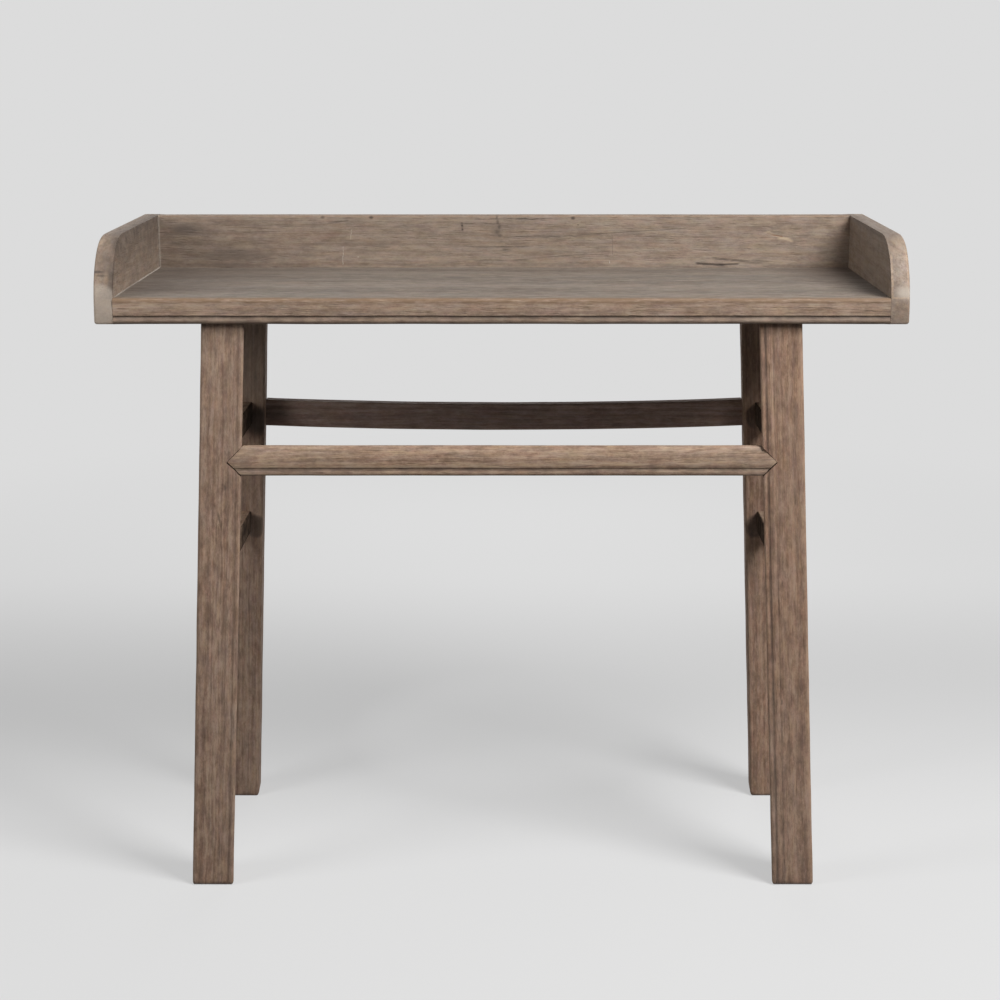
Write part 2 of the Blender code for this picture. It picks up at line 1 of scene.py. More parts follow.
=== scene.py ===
"""Looks of the hall table: finer pieces, elm finishes, studio and camera.

Metres, +Z up, front toward -Y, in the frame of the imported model. Every finer piece stands where
its node stands. Legs and stretchers are drawn upright and then leaned outward together.
"""
import logging
from dataclasses import dataclass, replace
from enum import Enum
from math import copysign, cos, pi, radians, sin
from typing import Callable, Optional, Sequence, Union

import bmesh
import bpy
from mathutils import Matrix, Vector, noise
from mathutils.geometry import interpolate_bezier


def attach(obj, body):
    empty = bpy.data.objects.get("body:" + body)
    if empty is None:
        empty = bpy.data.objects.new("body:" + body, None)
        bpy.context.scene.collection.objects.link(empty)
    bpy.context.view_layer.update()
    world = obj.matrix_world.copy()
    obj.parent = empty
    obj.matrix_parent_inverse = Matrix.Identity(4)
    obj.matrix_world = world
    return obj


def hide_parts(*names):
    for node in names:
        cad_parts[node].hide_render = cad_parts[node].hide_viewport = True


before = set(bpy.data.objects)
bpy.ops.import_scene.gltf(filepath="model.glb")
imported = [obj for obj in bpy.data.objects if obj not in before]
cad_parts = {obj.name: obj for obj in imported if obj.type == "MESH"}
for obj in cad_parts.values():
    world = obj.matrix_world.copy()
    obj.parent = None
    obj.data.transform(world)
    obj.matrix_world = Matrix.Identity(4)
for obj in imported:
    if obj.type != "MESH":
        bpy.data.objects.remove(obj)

BODY = "root"
PICTURE_SIDE = 1000
CLOSE = 1e-5
NEARLY_ALONG = 0.999
SHARP_ANGLE = radians(38.0)

# Levels and gaps that several pieces share
UNDERSIDE = 0.748
SURFACE = 0.781
TOP_FRONT = -0.188
GAP = 0.0003
GROOVE_SLOPE = 0.0012
FOOT_TURNS = (radians(22.5), radians(45.0), radians(67.5))
UPWARD = (0.0, 0.0, 1.0)
FORWARD = (0.0, -1.0, 0.0)

# Places of the colour sockets of the Mix node
MIX_UNDER = 6
MIX_OVER = 7
MIX_RESULT = 2

Pair = tuple[float, float]
Triple = tuple[float, float, float]
Source = Union[bpy.types.NodeSocket, float, Triple]
Place = Callable[[Vector], bool]

log = logging.getLogger("hall_table")


class Axis(Enum):
    """Direction that an edge or a row of cuts follows."""

    X = 0
    Y = 1
    Z = 2


class Cut(Enum):
    """What a tool does to the piece that it meets."""

    REMOVE = "DIFFERENCE"
    JOIN = "UNION"


class Blend(Enum):
    """How one colour lies over another."""

    COVER = "MIX"
    DARKEN = "MULTIPLY"


class Side(Enum):
    """Left or right of the table, seen from the front."""

    LEFT = -1
    RIGHT = 1

    @property
    def word(self) -> str:
        """Name of the side as the nodes spell it."""
        return self.name.lower()


class Level(Enum):
    """Which of the two stretchers on a side."""

    UPPER = "upper"
    LOWER = "lower"


class Slot(Enum):
    """Material slot of the record that a piece belongs to."""

    TOP = "top_elm"
    GALLERY = "gallery_elm"
    LEG = "leg_elm"
    STRETCHER = "stretcher_elm"
    JOINERY = "joinery_elm"


@dataclass(frozen=True)
class Clouds:
    """Soft noise: clouds to a metre along each axis, and the number and strength of finer layers."""

    stretch: Triple
    detail: float
    rough: float = 0.55


@dataclass(frozen=True)
class Waves:
    """A waver of straight lines: its clouds, and how far a point moves along each axis."""

    clouds: Clouds
    reach: Triple


# Pattern of the elm, along and across the grain
LONG_WAVES = Waves(Clouds((2.4, 15.0, 15.0), 2.0), (0.0, 0.016, 0.016))
SHORT_WAVES = Waves(Clouds((14.0, 80.0, 80.0), 2.0), (0.0, 0.0032, 0.0032))
FIBRES = Clouds((18.0, 300.0, 300.0), 3.0, 0.6)
FLECKS = Clouds((38.0, 90.0, 90.0), 5.0, 0.82)
PORES = Clouds((44.0, 820.0, 820.0), 1.0)
GREY_PATCHES = Clouds((3.0, 16.0, 16.0), 3.0)
HUE_PATCHES = Clouds((42.0, 120.0, 120.0), 4.0, 0.75)
WARM_PATCHES = Clouds((26.0, 150.0, 150.0), 4.0, 0.75)
RING_DETAIL = 4.0
RING_ROUGHNESS = 0.62
RING_SHARE = 0.24
FIBRE_SHARE = 0.24
FLECK_SHARE = 0.52
FIGURE_RANGE = 0.15
FIGURE_RELIEF = 0.35
GRAIN_IN_GREY = 0.45
GREY_START = 0.36
GREY_END = 0.66
GREY_LEAST = 0.15

# Tints that are laid over the wood's own colour
HUES = ((0.2, (1.05, 0.945, 0.98)), (0.5, (1.0, 1.0, 1.0)), (0.8, (0.965, 1.045, 0.985)))
WARMTHS = ((0.25, (1.05, 1.0, 0.89)), (0.5, (1.0, 1.0, 1.0)), (0.75, (0.955, 1.0, 1.11)))
PORE_TINT = (0.52, 0.46, 0.42)
PORE_STRENGTH = 0.4
PORE_SPAN = (0.58, 0.72)

# How wear, dirt, painted shade and marks are broken up
RUBBING = Clouds((55.0, 55.0, 55.0), 4.0, 0.6)
BREAKS = Clouds((60.0, 420.0, 420.0), 3.0, 0.6)
WANDER = Waves(Clouds((70.0, 70.0, 160.0), 2.0), (0.004, 0.004, 0.003))
WORN_SPAN = (0.30, 0.62, 0.15, 0.8)
GRIME_AND_SHADE_SPAN = (0.70, 0.35, 0.55, 0.95)
BREAK_SPAN = (0.34, 0.60, 0.25, 1.0)
SOIL_TOP = 0.010
SOIL_FULL = 0.004
SOIL_RAGGED = 0.006
SWIRL_REACH = 3.2
LINE_CORE = 0.3
LINE_FADE = 0.36
BUMP_STRENGTH = 0.5
BUMP_DISTANCE = 0.0005


class NodeBench:
    """Places and wires the nodes of one material."""

    def __init__(self, tree: bpy.types.NodeTree) -> None:
        """Work on a node tree."""
        self.tree = tree

    def place(self, kind: str, **settings: object) -> bpy.types.Node:
        """Add a node.

        Args:
            kind: Blender's name of the node type.
            settings: properties of the node.

        Returns:
            The new node.
        """
        node = self.tree.nodes.new(kind)
        for name, value in settings.items():
            setattr(node, name, value)
        return node

    def feed(self, socket: bpy.types.NodeSocket, source: Source) -> None:
        """Wire a socket, or set its value.

        Args:
            socket: the input to fill.
            source: an output, a number or three numbers.
        """
        if isinstance(source, bpy.types.NodeSocket):
            self.tree.links.new(source, socket)
        elif socket.type == "RGBA":
            socket.default_value = (*source, 1.0)
        else:
            socket.default_value = source

    def maths(self, operation: str, first: Source, second: Source = 0.0) -> bpy.types.NodeSocket:
        """Work out one number.

        Args:
            operation: Blender's name of the operation.
            first: first number.
            second: second number.

        Returns:
            The result.
        """
        node = self.place("ShaderNodeMath", operation=operation)
        self.feed(node.inputs[0], first)
        self.feed(node.inputs[1], second)
        return node.outputs[0]

    def vector(self, operation: str, first: Source, second: Source) -> bpy.types.NodeSocket:
        """Work out one vector.

        Args:
            operation: Blender's name of the operation.
            first: first vector.
            second: second vector, or the number of a scaling.

        Returns:
            The result.
        """
        node = self.place("ShaderNodeVectorMath", operation=operation)
        self.feed(node.inputs[0], first)
        self.feed(node.inputs["Scale" if operation == "SCALE" else 1], second)
        return node.outputs["Vector"]

    def length(self, vector: Source) -> bpy.types.NodeSocket:
        """Measure a vector.

        Args:
            vector: the vector.

        Returns:
            Its length.
        """
        node = self.place("ShaderNodeVectorMath", operation="LENGTH")
        self.feed(node.inputs[0], vector)
        return node.outputs["Value"]

    def noise(self, coords: Source, clouds: Clouds, output: str = "Fac") -> bpy.types.NodeSocket:
        """Add clouds that are stretched along the grain.

        Args:
            coords: where the clouds are read.
            clouds: their size and detail.
            output: which of the node's outputs.

        Returns:
            That output.
        """
        node = self.place("ShaderNodeTexNoise", noise_dimensions="3D")
        self.feed(node.inputs["Vector"], self.vector("MULTIPLY", coords, clouds.stretch))
        node.inputs["Scale"].default_value = 1.0
        node.inputs["Detail"].default_value = clouds.detail
        node.inputs["Roughness"].default_value = clouds.rough
        return node.outputs[output]

    def spread(
        self, value: Source, start: float, end: float, low: float = 0.0, high: float = 1.0
    ) -> bpy.types.NodeSocket:
        """Spread a range of numbers over another, and hold its ends.

        Args:
            value: the number.
            start: value that gives low.
            end: value that gives high.
            low: least result.
            high: greatest result.

        Returns:
            The result.
        """
        node = self.place("ShaderNodeMapRange", interpolation_type="SMOOTHSTEP")
        sockets = node.inputs
        self.feed(sockets["Value"], value)
        numbers = {"From Min": start, "From Max": end, "To Min": low, "To Max": high}
        for name, number in numbers.items():
            sockets[name].default_value = number
        return node.outputs["Result"]

    def blend(self, how: Blend, share: Source, under: Source, over: Source) -> bpy.types.NodeSocket:
        """Lay one colour over another.

        Args:
            how: the way of laying it on.
            share: how much of it shows.
            under: the colour below.
            over: the colour above.

        Returns:
            The mixed colour.
        """
        node = self.place("ShaderNodeMix", data_type="RGBA", blend_type=how.value)
        self.feed(node.inputs[0], share)
        self.feed(node.inputs[MIX_UNDER], under)
        self.feed(node.inputs[MIX_OVER], over)
        return node.outputs[MIX_RESULT]

    def ramp(self, value: Source, stops: Sequence[tuple[float, Triple]]) -> bpy.types.NodeSocket:
        """Turn a number into a colour.

        Args:
            value: the number, from 0 to 1.
            stops: places on the ramp with their colours.

        Returns:
            The colour.
        """
        node = self.place("ShaderNodeValToRGB")
        elements = node.color_ramp.elements
        while len(elements) < len(stops):
            elements.new(0.5)
        for element, (place, colour) in zip(elements, stops):
            element.position = place
            element.color = (*colour, 1.0)
        self.feed(node.inputs[0], value)
        return node.outputs["Color"]

    def attribute(self, name: str) -> bpy.types.NodeSocket:
        """Read a number that the piece's vertices carry."""
        return self.place("ShaderNodeAttribute", attribute_name=name).outputs["Fac"]


@dataclass(frozen=True)
class Mark:
    """A blemish of the wood that is seen in one place."""

    tint: Triple
    strength: float
    depth: float = 0.0

    @property
    def steady(self) -> bool:
        """Whether the mark keeps its place and is not broken up by the grain."""
        return False

    def mask(self, bench: NodeBench, coords: bpy.types.NodeSocket) -> bpy.types.NodeSocket:
        """Tell where the mark is.

        Args:
            bench: bench of the material.
            coords: object coordinates with a little wander.

        Returns:
            1 in the mark and 0 outside it.
        """
        raise NotImplementedError


@dataclass(frozen=True)
class Spot(Mark):
    """A round or long patch. With swirl above 0 the grain runs round it, as round a knot."""

    place: Triple = (0.0, 0.0, 0.0)
    reach: Triple = (0.01, 0.01, 0.01)
    core: float = 0.4
    swirl: float = 0.0

    def distance(
        self, bench: NodeBench, coords: bpy.types.NodeSocket, wider: float
    ) -> bpy.types.NodeSocket:
        """Distance from the middle.

        Args:
            bench: bench of the material.
            coords: object coordinates.
            wider: how many times the reach counts as 1.

        Returns:
            0 in the middle and 1 at the rim.
        """
        away = bench.vector("SUBTRACT", coords, self.place)
        return bench.length(bench.vector("MULTIPLY", away, tuple(1 / (wider * r) for r in self.reach)))

    def mask(self, bench: NodeBench, coords: bpy.types.NodeSocket) -> bpy.types.NodeSocket:
        """1 in the core, fading to 0 at the rim."""
        return bench.spread(self.distance(bench, coords, 1.0), 1.0, self.core)

    def pull(self, bench: NodeBench, coords: bpy.types.NodeSocket) -> bpy.types.NodeSocket:
        """Coordinates drawn toward the knot, so that the grain bulges round it.

        Args:
            bench: bench of the material.
            coords: object coordinates.

        Returns:
            The changed coordinates.
        """
        near = bench.spread(self.distance(bench, coords, SWIRL_REACH), 1.0, 0.0, 0.0, self.swirl)
        away = bench.vector("SUBTRACT", coords, self.place)
        return bench.vector("SUBTRACT", coords, bench.vector("SCALE", away, near))


@dataclass(frozen=True)
class Line(Mark):
    """A crack, scratch or line of dust between two points of a face."""

    start: Triple = (0.0, 0.0, 0.0)
    end: Triple = (0.1, 0.0, 0.0)
    width: float = 0.001
    facing: Triple = FORWARD
    sink: float = 0.006

    def mask(self, bench: NodeBench, coords: bpy.types.NodeSocket) -> bpy.types.NodeSocket:
        """Tell where the line is.

        Args:
            bench: bench of the material.
            coords: object coordinates with a little wander.

        Returns:
            1 in the line's middle, fading to its sides and ends.
        """
        along = Vector(self.end) - Vector(self.start)
        first = along.normalized()
        across = Vector(self.facing).cross(first).normalized()
        turn = Matrix((first, across, first.cross(across))).transposed().to_euler()
        node = bench.place("ShaderNodeMapping", vector_type="TEXTURE")
        bench.feed(node.inputs["Vector"], coords)
        node.inputs["Location"].default_value = self.start
        node.inputs["Rotation"].default_value = turn
        node.inputs["Scale"].default_value = (along.length, self.width, self.sink)
        inside = bench.vector("MULTIPLY", node.outputs[0], (0.0, 1.0, 1.0))
        body = bench.spread(bench.length(inside), 1.0, LINE_CORE)
        run = bench.place("ShaderNodeSeparateXYZ")
        bench.feed(run.inputs[0], node.outputs[0])
        off_middle = bench.maths("ABSOLUTE", bench.maths("SUBTRACT", run.outputs[0], 0.5))
        return bench.maths("MULTIPLY", body, bench.spread(off_middle, 0.5, LINE_FADE))


@dataclass(frozen=True)
class Stain(Spot):
    """An even patch of dirt or bleaching with soft ends."""

    @property
    def steady(self) -> bool:
        """A stain lies over the grain without a break."""
        return True


@dataclass(frozen=True)
class Seam(Line):
    """A straight line of dust or dirt where two pieces meet."""

    @property
    def steady(self) -> bool:
        """A seam is straight."""
        return True


@dataclass(frozen=True)
class Tone:
    """Colours of a weathered elm, in linear light."""

    dark: Triple
    middle: Triple
    pale: Triple
    grey: Triple
    worn: Triple
    grime_and_shade: Triple = (0.052, 0.038, 0.030)


@dataclass(frozen=True)
class Crown:
    """Other colours for the upper face of a plank, which dust and light have greyed."""

    tone: Tone
    start: float
    end: float


@dataclass(frozen=True)
class ElmFinish:
    """Weathered elm with its grain along one direction.

    The pattern is cut from a solid block: year rings round a heart, fibres and pores along the
    grain, and patches where the wood has greyed.
    """

    name: str
    tone: Tone
    grain: Triple = (1.0, 0.0, 0.0)
    heart: Pair = (0.03, -0.11)
    seed: float = 0.0
    ring_pitch: float = 0.009
    greying: float = 0.5
    contrast: float = 1.0
    roughness: Pair = (0.50, 0.68)
    shine: float = 0.35
    foot_soil: float = 0.0
    crown: Optional[Crown] = None
    marks: tuple[Mark, ...] = ()

    @property
    def corner(self) -> Triple:
        """Corner of the block, which the seed picks."""
        return (self.seed, 0.37 * self.seed, 0.61 * self.seed)

    def block(self, bench: NodeBench, coords: bpy.types.NodeSocket) -> bpy.types.NodeSocket:
        """Turn object coordinates so that the grain runs along X of the block.

        Args:
            bench: bench of the material.
            coords: object coordinates.

        Returns:
            Coordinates in the block that the piece was cut from.
        """
        turn = Vector(self.grain).to_track_quat("X", "Z").inverted().to_euler()
        node = bench.place("ShaderNodeMapping")
        bench.feed(node.inputs["Vector"], coords)
        node.inputs["Rotation"].default_value = turn
        node.inputs["Location"].default_value = self.corner
        return node.outputs[0]

    def waver(
        self, bench: NodeBench, coords: bpy.types.NodeSocket, waves: Waves
    ) -> bpy.types.NodeSocket:
        """Let straight lines waver.

        Args:
            bench: bench of the material.
            coords: coordinates to disturb.
            waves: how they are disturbed.

        Returns:
            The disturbed coordinates.
        """
        clouds = bench.noise(coords, waves.clouds, "Color")
        centred = bench.vector("SUBTRACT", clouds, (0.5, 0.5, 0.5))
        return bench.vector("ADD", coords, bench.vector("MULTIPLY", centred, waves.reach))

    def figure(self, bench: NodeBench, wood: bpy.types.NodeSocket) -> bpy.types.NodeSocket:
        """Light and dark of the rings and fibres.

        Args:
            bench: bench of the material.
            wood: coordinates in the block.

        Returns:
            0 in dark late wood, 1 in pale early wood.
        """
        start, across, up = self.corner
        middle = (start, across + self.heart[0], up + self.heart[1])
        off_heart = bench.vector("SUBTRACT", wood, middle)
        radius = bench.length(bench.vector("MULTIPLY", off_heart, (0.0, 1.0, 1.0)))
        rings = bench.place("ShaderNodeTexNoise", noise_dimensions="1D")
        bench.feed(rings.inputs["W"], radius)
        rings.inputs["Scale"].default_value = 1.0 / self.ring_pitch
        rings.inputs["Detail"].default_value = RING_DETAIL
        rings.inputs["Roughness"].default_value = RING_ROUGHNESS
        total = bench.maths("MULTIPLY", rings.outputs["Fac"], RING_SHARE)
        for clouds, share in ((FIBRES, FIBRE_SHARE), (FLECKS, FLECK_SHARE)):
            total = bench.maths("ADD", total, bench.maths("MULTIPLY", bench.noise(wood, clouds), share))
        half = FIGURE_RANGE / self.contrast
        return bench.spread(total, 0.5 - half, 0.5 + half)

    def pores(self, bench: NodeBench, wood: bpy.types.NodeSocket) -> bpy.types.NodeSocket:
        """Short dark dashes of open pores: 1 in a pore and 0 outside."""
        return bench.spread(bench.noise(wood, PORES), *PORE_SPAN)

    def coat(
        self,
        bench: NodeBench,
        figure: Source,
        pores: Source,
        wood: bpy.types.NodeSocket,
        coords: bpy.types.NodeSocket,
    ) -> bpy.types.NodeSocket:
        """Colour of the sound wood, before its marks.

        Args:
            bench: bench of the material.
            figure: light and dark of the grain.
            pores: where the pores are.
            wood: coordinates in the block.
            coords: object coordinates.

        Returns:
            The colour.
        """
        patches = bench.noise(wood, GREY_PATCHES)
        least = GREY_LEAST * self.greying
        grey = bench.spread(patches, GREY_START, GREY_END, least, self.greying)
        colour = self.shaded(bench, self.tone, figure, grey)
        if self.crown is not None:
            height = bench.place("ShaderNodeSeparateXYZ")
            bench.feed(height.inputs[0], coords)
            above = bench.spread(height.outputs[2], self.crown.start, self.crown.end)
            upper = self.shaded(bench, self.crown.tone, figure, grey)
            colour = bench.blend(Blend.COVER, above, colour, upper)
        for clouds, stops in ((HUE_PATCHES, HUES), (WARM_PATCHES, WARMTHS)):
            tint = bench.ramp(bench.noise(wood, clouds), stops)
            colour = bench.blend(Blend.DARKEN, 1.0, colour, tint)
        share = bench.maths("MULTIPLY", pores, PORE_STRENGTH)
        return bench.blend(Blend.DARKEN, share, colour, PORE_TINT)

    def shaded(
        self, bench: NodeBench, tone: Tone, figure: Source, grey: Source
    ) -> bpy.types.NodeSocket:
        """Lay a tone's colours along the grain, and its grey over them.

        Args:
            bench: bench of the material.
            tone: the colours.
            figure: light and dark of the grain.
            grey: how much the wood has greyed.

        Returns:
            The colour.
        """
        colour = bench.ramp(figure, ((0.0, tone.dark), (0.5, tone.middle), (1.0, tone.pale)))
        silver = bench.blend(Blend.COVER, GRAIN_IN_GREY, tone.grey, colour)
        return bench.blend(Blend.COVER, grey, colour, silver)

    def aged(
        self, bench: NodeBench, colour: bpy.types.NodeSocket, coords: bpy.types.NodeSocket
    ) -> bpy.types.NodeSocket:
        """Rub the edges pale, leave dirt in the grooves and at the feet, and lay the painted shade that
        the vertices carry.

        Args:
            bench: bench of the material.
            colour: colour of the wood.
            coords: object coordinates.

        Returns:
            The aged colour.
        """
        rub = bench.noise(coords, RUBBING)
        layers = (("wear", WORN_SPAN, self.tone.worn), ("grime_and_shade", GRIME_AND_SHADE_SPAN, self.tone.grime_and_shade))
        for name, span, tint in layers:
            share = bench.maths("MULTIPLY", bench.attribute(name), bench.spread(rub, *span))
            colour = bench.blend(Blend.COVER, share, colour, tint)
        if self.foot_soil > 0.0:
            height = bench.place("ShaderNodeSeparateXYZ")
            bench.feed(height.inputs[0], coords)
            ragged = bench.maths("ADD", height.outputs[2], bench.maths("MULTIPLY", rub, SOIL_RAGGED))
            darken = bench.spread(ragged, SOIL_TOP, SOIL_FULL, 0.0, self.foot_soil)
            colour = bench.blend(Blend.COVER, darken, colour, self.tone.grime_and_shade)
        return colour

    def material(self) -> bpy.types.Material:
        """Make the material.

        Returns:
            The new material.
        """
        material = bpy.data.materials.new(self.name)
        material.use_nodes = True
        bench = NodeBench(material.node_tree)
        shader = material.node_tree.nodes["Principled BSDF"]
        coords = bench.place("ShaderNodeTexCoord").outputs["Object"]
        drawn = coords
        for mark in self.marks:
            if isinstance(mark, Spot) and mark.swirl > 0.0:
                drawn = mark.pull(bench, drawn)
        wood = self.waver(bench, self.block(bench, drawn), LONG_WAVES)
        wood = self.waver(bench, wood, SHORT_WAVES)
        figure = self.figure(bench, wood)
        pores = self.pores(bench, wood)
        colour = self.coat(bench, figure, pores, wood, coords)
        colour = self.aged(bench, colour, coords)
        wandered = self.waver(bench, coords, WANDER)
        broken = bench.spread(bench.noise(wood, BREAKS), *BREAK_SPAN)
        height = bench.maths("SUBTRACT", bench.maths("MULTIPLY", figure, FIGURE_RELIEF), pores)
        for mark in self.marks:
            if mark.steady:
                there = mark.mask(bench, coords)
            else:
                there = bench.maths("MULTIPLY", mark.mask(bench, wandered), broken)
            share = bench.maths("MULTIPLY", there, mark.strength)
            colour = bench.blend(Blend.COVER, share, colour, mark.tint)
            if mark.depth:
                height = bench.maths("SUBTRACT", height, bench.maths("MULTIPLY", there, mark.depth))
        bench.feed(shader.inputs["Base Color"], colour)
        smooth, rough = self.roughness
        bench.feed(shader.inputs["Roughness"], bench.spread(figure, 0.0, 1.0, rough, smooth))
        shader.inputs["Specular IOR Level"].default_value = self.shine
        bump = bench.place("ShaderNodeBump")
        bump.inputs["Strength"].default_value = BUMP_STRENGTH
        bump.inputs["Distance"].default_value = BUMP_DISTANCE
        bench.feed(bump.inputs["Height"], height)
        bench.feed(shader.inputs["Normal"], bump.outputs[0])
        return material


class Blank:
    """A piece on the bench: a bmesh whose vertices carry values for wear, and for grime and painted
    shade.
    """

    def __init__(self) -> None:
        """Start with an empty bench."""
        self.bm = bmesh.new()
        self.wear = self.bm.verts.layers.float.new("wear")
        self.grime_and_shade = self.bm.verts.layers.float.new("grime_and_shade")

    @classmethod
    def board(cls, low: Triple, high: Triple) -> "Blank":
        """Plane a square board.

        Args:
            low: lowest corner.
            high: highest corner.

        Returns:
            The board.
        """
        blank = cls()
        made = bmesh.ops.create_cube(blank.bm, size=1.0)["verts"]
        bmesh.ops.scale(blank.bm, vec=Vector(high) - Vector(low), verts=made)
        bmesh.ops.translate(blank.bm, vec=(Vector(high) + Vector(low)) / 2, verts=made)
        return blank

    @classmethod
    def moulding(cls, outline: Sequence[Triple], run: Triple) -> "Blank":
        """Draw a section and pull it along a line.

        Args:
            outline: corners of the section.
            run: step from its first end to its last.

        Returns:
            The moulding.
        """
        blank = cls()
        face = blank.bm.faces.new([blank.bm.verts.new(corner) for corner in outline])
        grown = bmesh.ops.extrude_face_region(blank.bm, geom=[face])["geom"]
        far = [item for item in grown if isinstance(item, bmesh.types.BMVert)]
        bmesh.ops.translate(blank.bm, vec=Vector(run), verts=far)
        bmesh.ops.recalc_face_normals(blank.bm, faces=blank.bm.faces)
        return blank

    def edges(self, axis: Axis, where: Place = lambda middle: True) -> list[bmesh.types.BMEdge]:
        """Find the edges that run along an axis.

        Args:
            axis: the direction.
            where: test of an edge's middle.

        Returns:
            The edges.
        """
        found = []
        for edge in self.bm.edges:
            step = edge.verts[1].co - edge.verts[0].co
            if abs(step[axis.value]) > NEARLY_ALONG * step.length:
                if where((edge.verts[0].co + edge.verts[1].co) / 2):
                    found.append(edge)
        return found

    def rim(self, axis: Axis, level: float) -> list[bmesh.types.BMEdge]:
        """Find the edges that lie in a plane across an axis.

        Args:
            axis: direction across the plane.
            level: place of the plane.

        Returns:
            The edges.
        """
        return [
            edge
            for edge in self.bm.edges
            if all(abs(vertex.co[axis.value] - level) < CLOSE for vertex in edge.verts)
        ]

    def slice(self, axis: Axis, cuts: int) -> None:
        """Part the long faces with even cuts across an axis.

        Args:
            axis: direction of the edges to part.
            cuts: how many cuts.
        """
        bmesh.ops.subdivide_edges(self.bm, edges=self.edges(axis), cuts=cuts, use_grid_fill=True)

    def ease(
        self, edges: Sequence[bmesh.types.BMEdge], radius: float, segments: int = 3, worn: float = 1.0
    ) -> None:
        """Round some edges and note how worn they are.

        Args:
            edges: the edges.
            radius: how far the rounding reaches.
            segments: steps of the rounding.
            worn: wear of the rounded part.
        """
        made = bmesh.ops.bevel(
            self.bm,
            geom=list(edges),
            offset=radius,
            offset_type="OFFSET",
            segments=segments,
            profile=0.5,
            affect="EDGES",
            clamp_overlap=True,
            material=-1,
        )
        rounded = set(made["faces"])
        for face in rounded:
            for vertex in face.verts:
                if all(other in rounded for other in vertex.link_faces):
                    vertex[self.wear] = worn

    def darken(self, where: Place, amount: float) -> None:
        """Darken some vertices, with dirt in grooves and with painted shade on shaded faces.

        Args:
            where: test of a vertex's place.
            amount: how dark, as dirt and as painted shade.
        """
        for vertex in self.bm.verts:
            if where(vertex.co):
                vertex[self.grime_and_shade] = amount

    def saw(self, point: Triple, normal: Triple) -> None:
        """Saw off what lies beyond a plane and close the cut.

        Args:
            point: a point of the plane.
            normal: direction of the waste.
        """
        everything = self.bm.verts[:] + self.bm.edges[:] + self.bm.faces[:]
        bmesh.ops.bisect_plane(
            self.bm, geom=everything, plane_co=point, plane_no=normal, clear_outer=True
        )
        bmesh.ops.holes_fill(self.bm, edges=self.bm.edges[:], sides=0)

    def bend(self, shift: Callable[[Vector], Vector]) -> None:
        """Move every vertex to the place that a rule gives it."""
        for vertex in self.bm.verts:
            vertex.co = shift(vertex.co)

    def weather(
        self, depth: float, pitch: float, seed: float, sound: Place = lambda place: False
    ) -> None:
        """Take a little off the surface, more here and less there, as hand tools and age do.

        Args:
            depth: most that is taken off.
            pitch: length of the waves.
            seed: which waves.
            sound: test of the places that keep their surface.
        """
        self.bm.normal_update()
        start = Vector((seed, 2.3 * seed, 3.7 * seed))
        for vertex in self.bm.verts:
            if not sound(vertex.co):
                wave = 0.5 + 0.5 * noise.noise(vertex.co / pitch + start)
                vertex.co -= vertex.normal * (depth * wave)

    def into_object(self, name: str) -> bpy.types.Object:
        """Take the piece off the bench as an object.

        Args:
            name: name of the object.

        Returns:
            The object.
        """
        bmesh.ops.recalc_face_normals(self.bm, faces=self.bm.faces)
        mesh = bpy.data.meshes.new(name)
        self.bm.to_mesh(mesh)
        self.bm.free()
        piece = bpy.data.objects.new(name, mesh)
        bpy.context.scene.collection.objects.link(piece)
        return piece


def at(x: Optional[float] = None, y: Optional[float] = None, z: Optional[float] = None) -> Place:
    """Make a test for the points whose given coordinates agree.

    Args:
        x: wanted place from left to right, if any.
        y: wanted place from front to back, if any.
        z: wanted height, if any.

    Returns:
        The test.
    """
    wanted = [(index, level) for index, level in enumerate((x, y, z)) if level is not None]
    return lambda point: all(abs(point[index] - level) < CLOSE for index, level in wanted)


def bead(width: float, groove: float, depth: float) -> list[Pair]:
    """Draw the section of a bead along an edge, and of the groove beside it.

    Args:
        width: width of the bead.
        groove: width of the groove's floor.
        depth: depth of the groove.

    Returns:
        Points as (distance from the edge, depth below the face).
    """
    return [
        (0.0, 0.0),
        (0.5 * width, 0.0),
        (0.78 * width, 0.2 * depth),
        (width, depth),
        (width + groove, depth),
    ]


def work(piece: bpy.types.Object, tool: Blank, cut: Cut) -> None:
    """Cut a tool out of a piece, or join it to the piece.

    Args:
        piece: the piece.
        tool: the shape that cuts or joins.
        cut: which of the two.
    """
    helper = tool.into_object("tool")
    modifier = piece.modifiers.new("work", "BOOLEAN")
    modifier.operation = cut.value
    modifier.solver = "EXACT"
    modifier.object = helper
    seen = bpy.context.evaluated_depsgraph_get()
    mesh = bpy.data.meshes.new_from_object(piece.evaluated_get(seen))
    piece.modifiers.remove(modifier)
    old = piece.data
    piece.data = mesh
    shape = helper.data
    bpy.data.objects.remove(helper)
    for spent in (old, shape):
        bpy.data.meshes.remove(spent)
    mesh.name = piece.name


def hand_over(piece: bpy.types.Object, node: str, finish: ElmFinish) -> None:
    """Dress a finished piece and let it stand for its node.

    Args:
        piece: the piece.
        node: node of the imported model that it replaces.
        finish: its wood.
    """
    mesh = piece.data
    mesh.materials.clear()
    mesh.materials.append(finish.material())
    mesh.shade_smooth()
    mesh.set_sharp_from_angle(angle=SHARP_ANGLE)
    even = piece.modifiers.new("even_shading", "WEIGHTED_NORMAL")
    even.keep_sharp = True
    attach(piece, BODY)
    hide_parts(node)
    log.info("%s stands for %s with %d faces", piece.name, node, len(mesh.polygons))


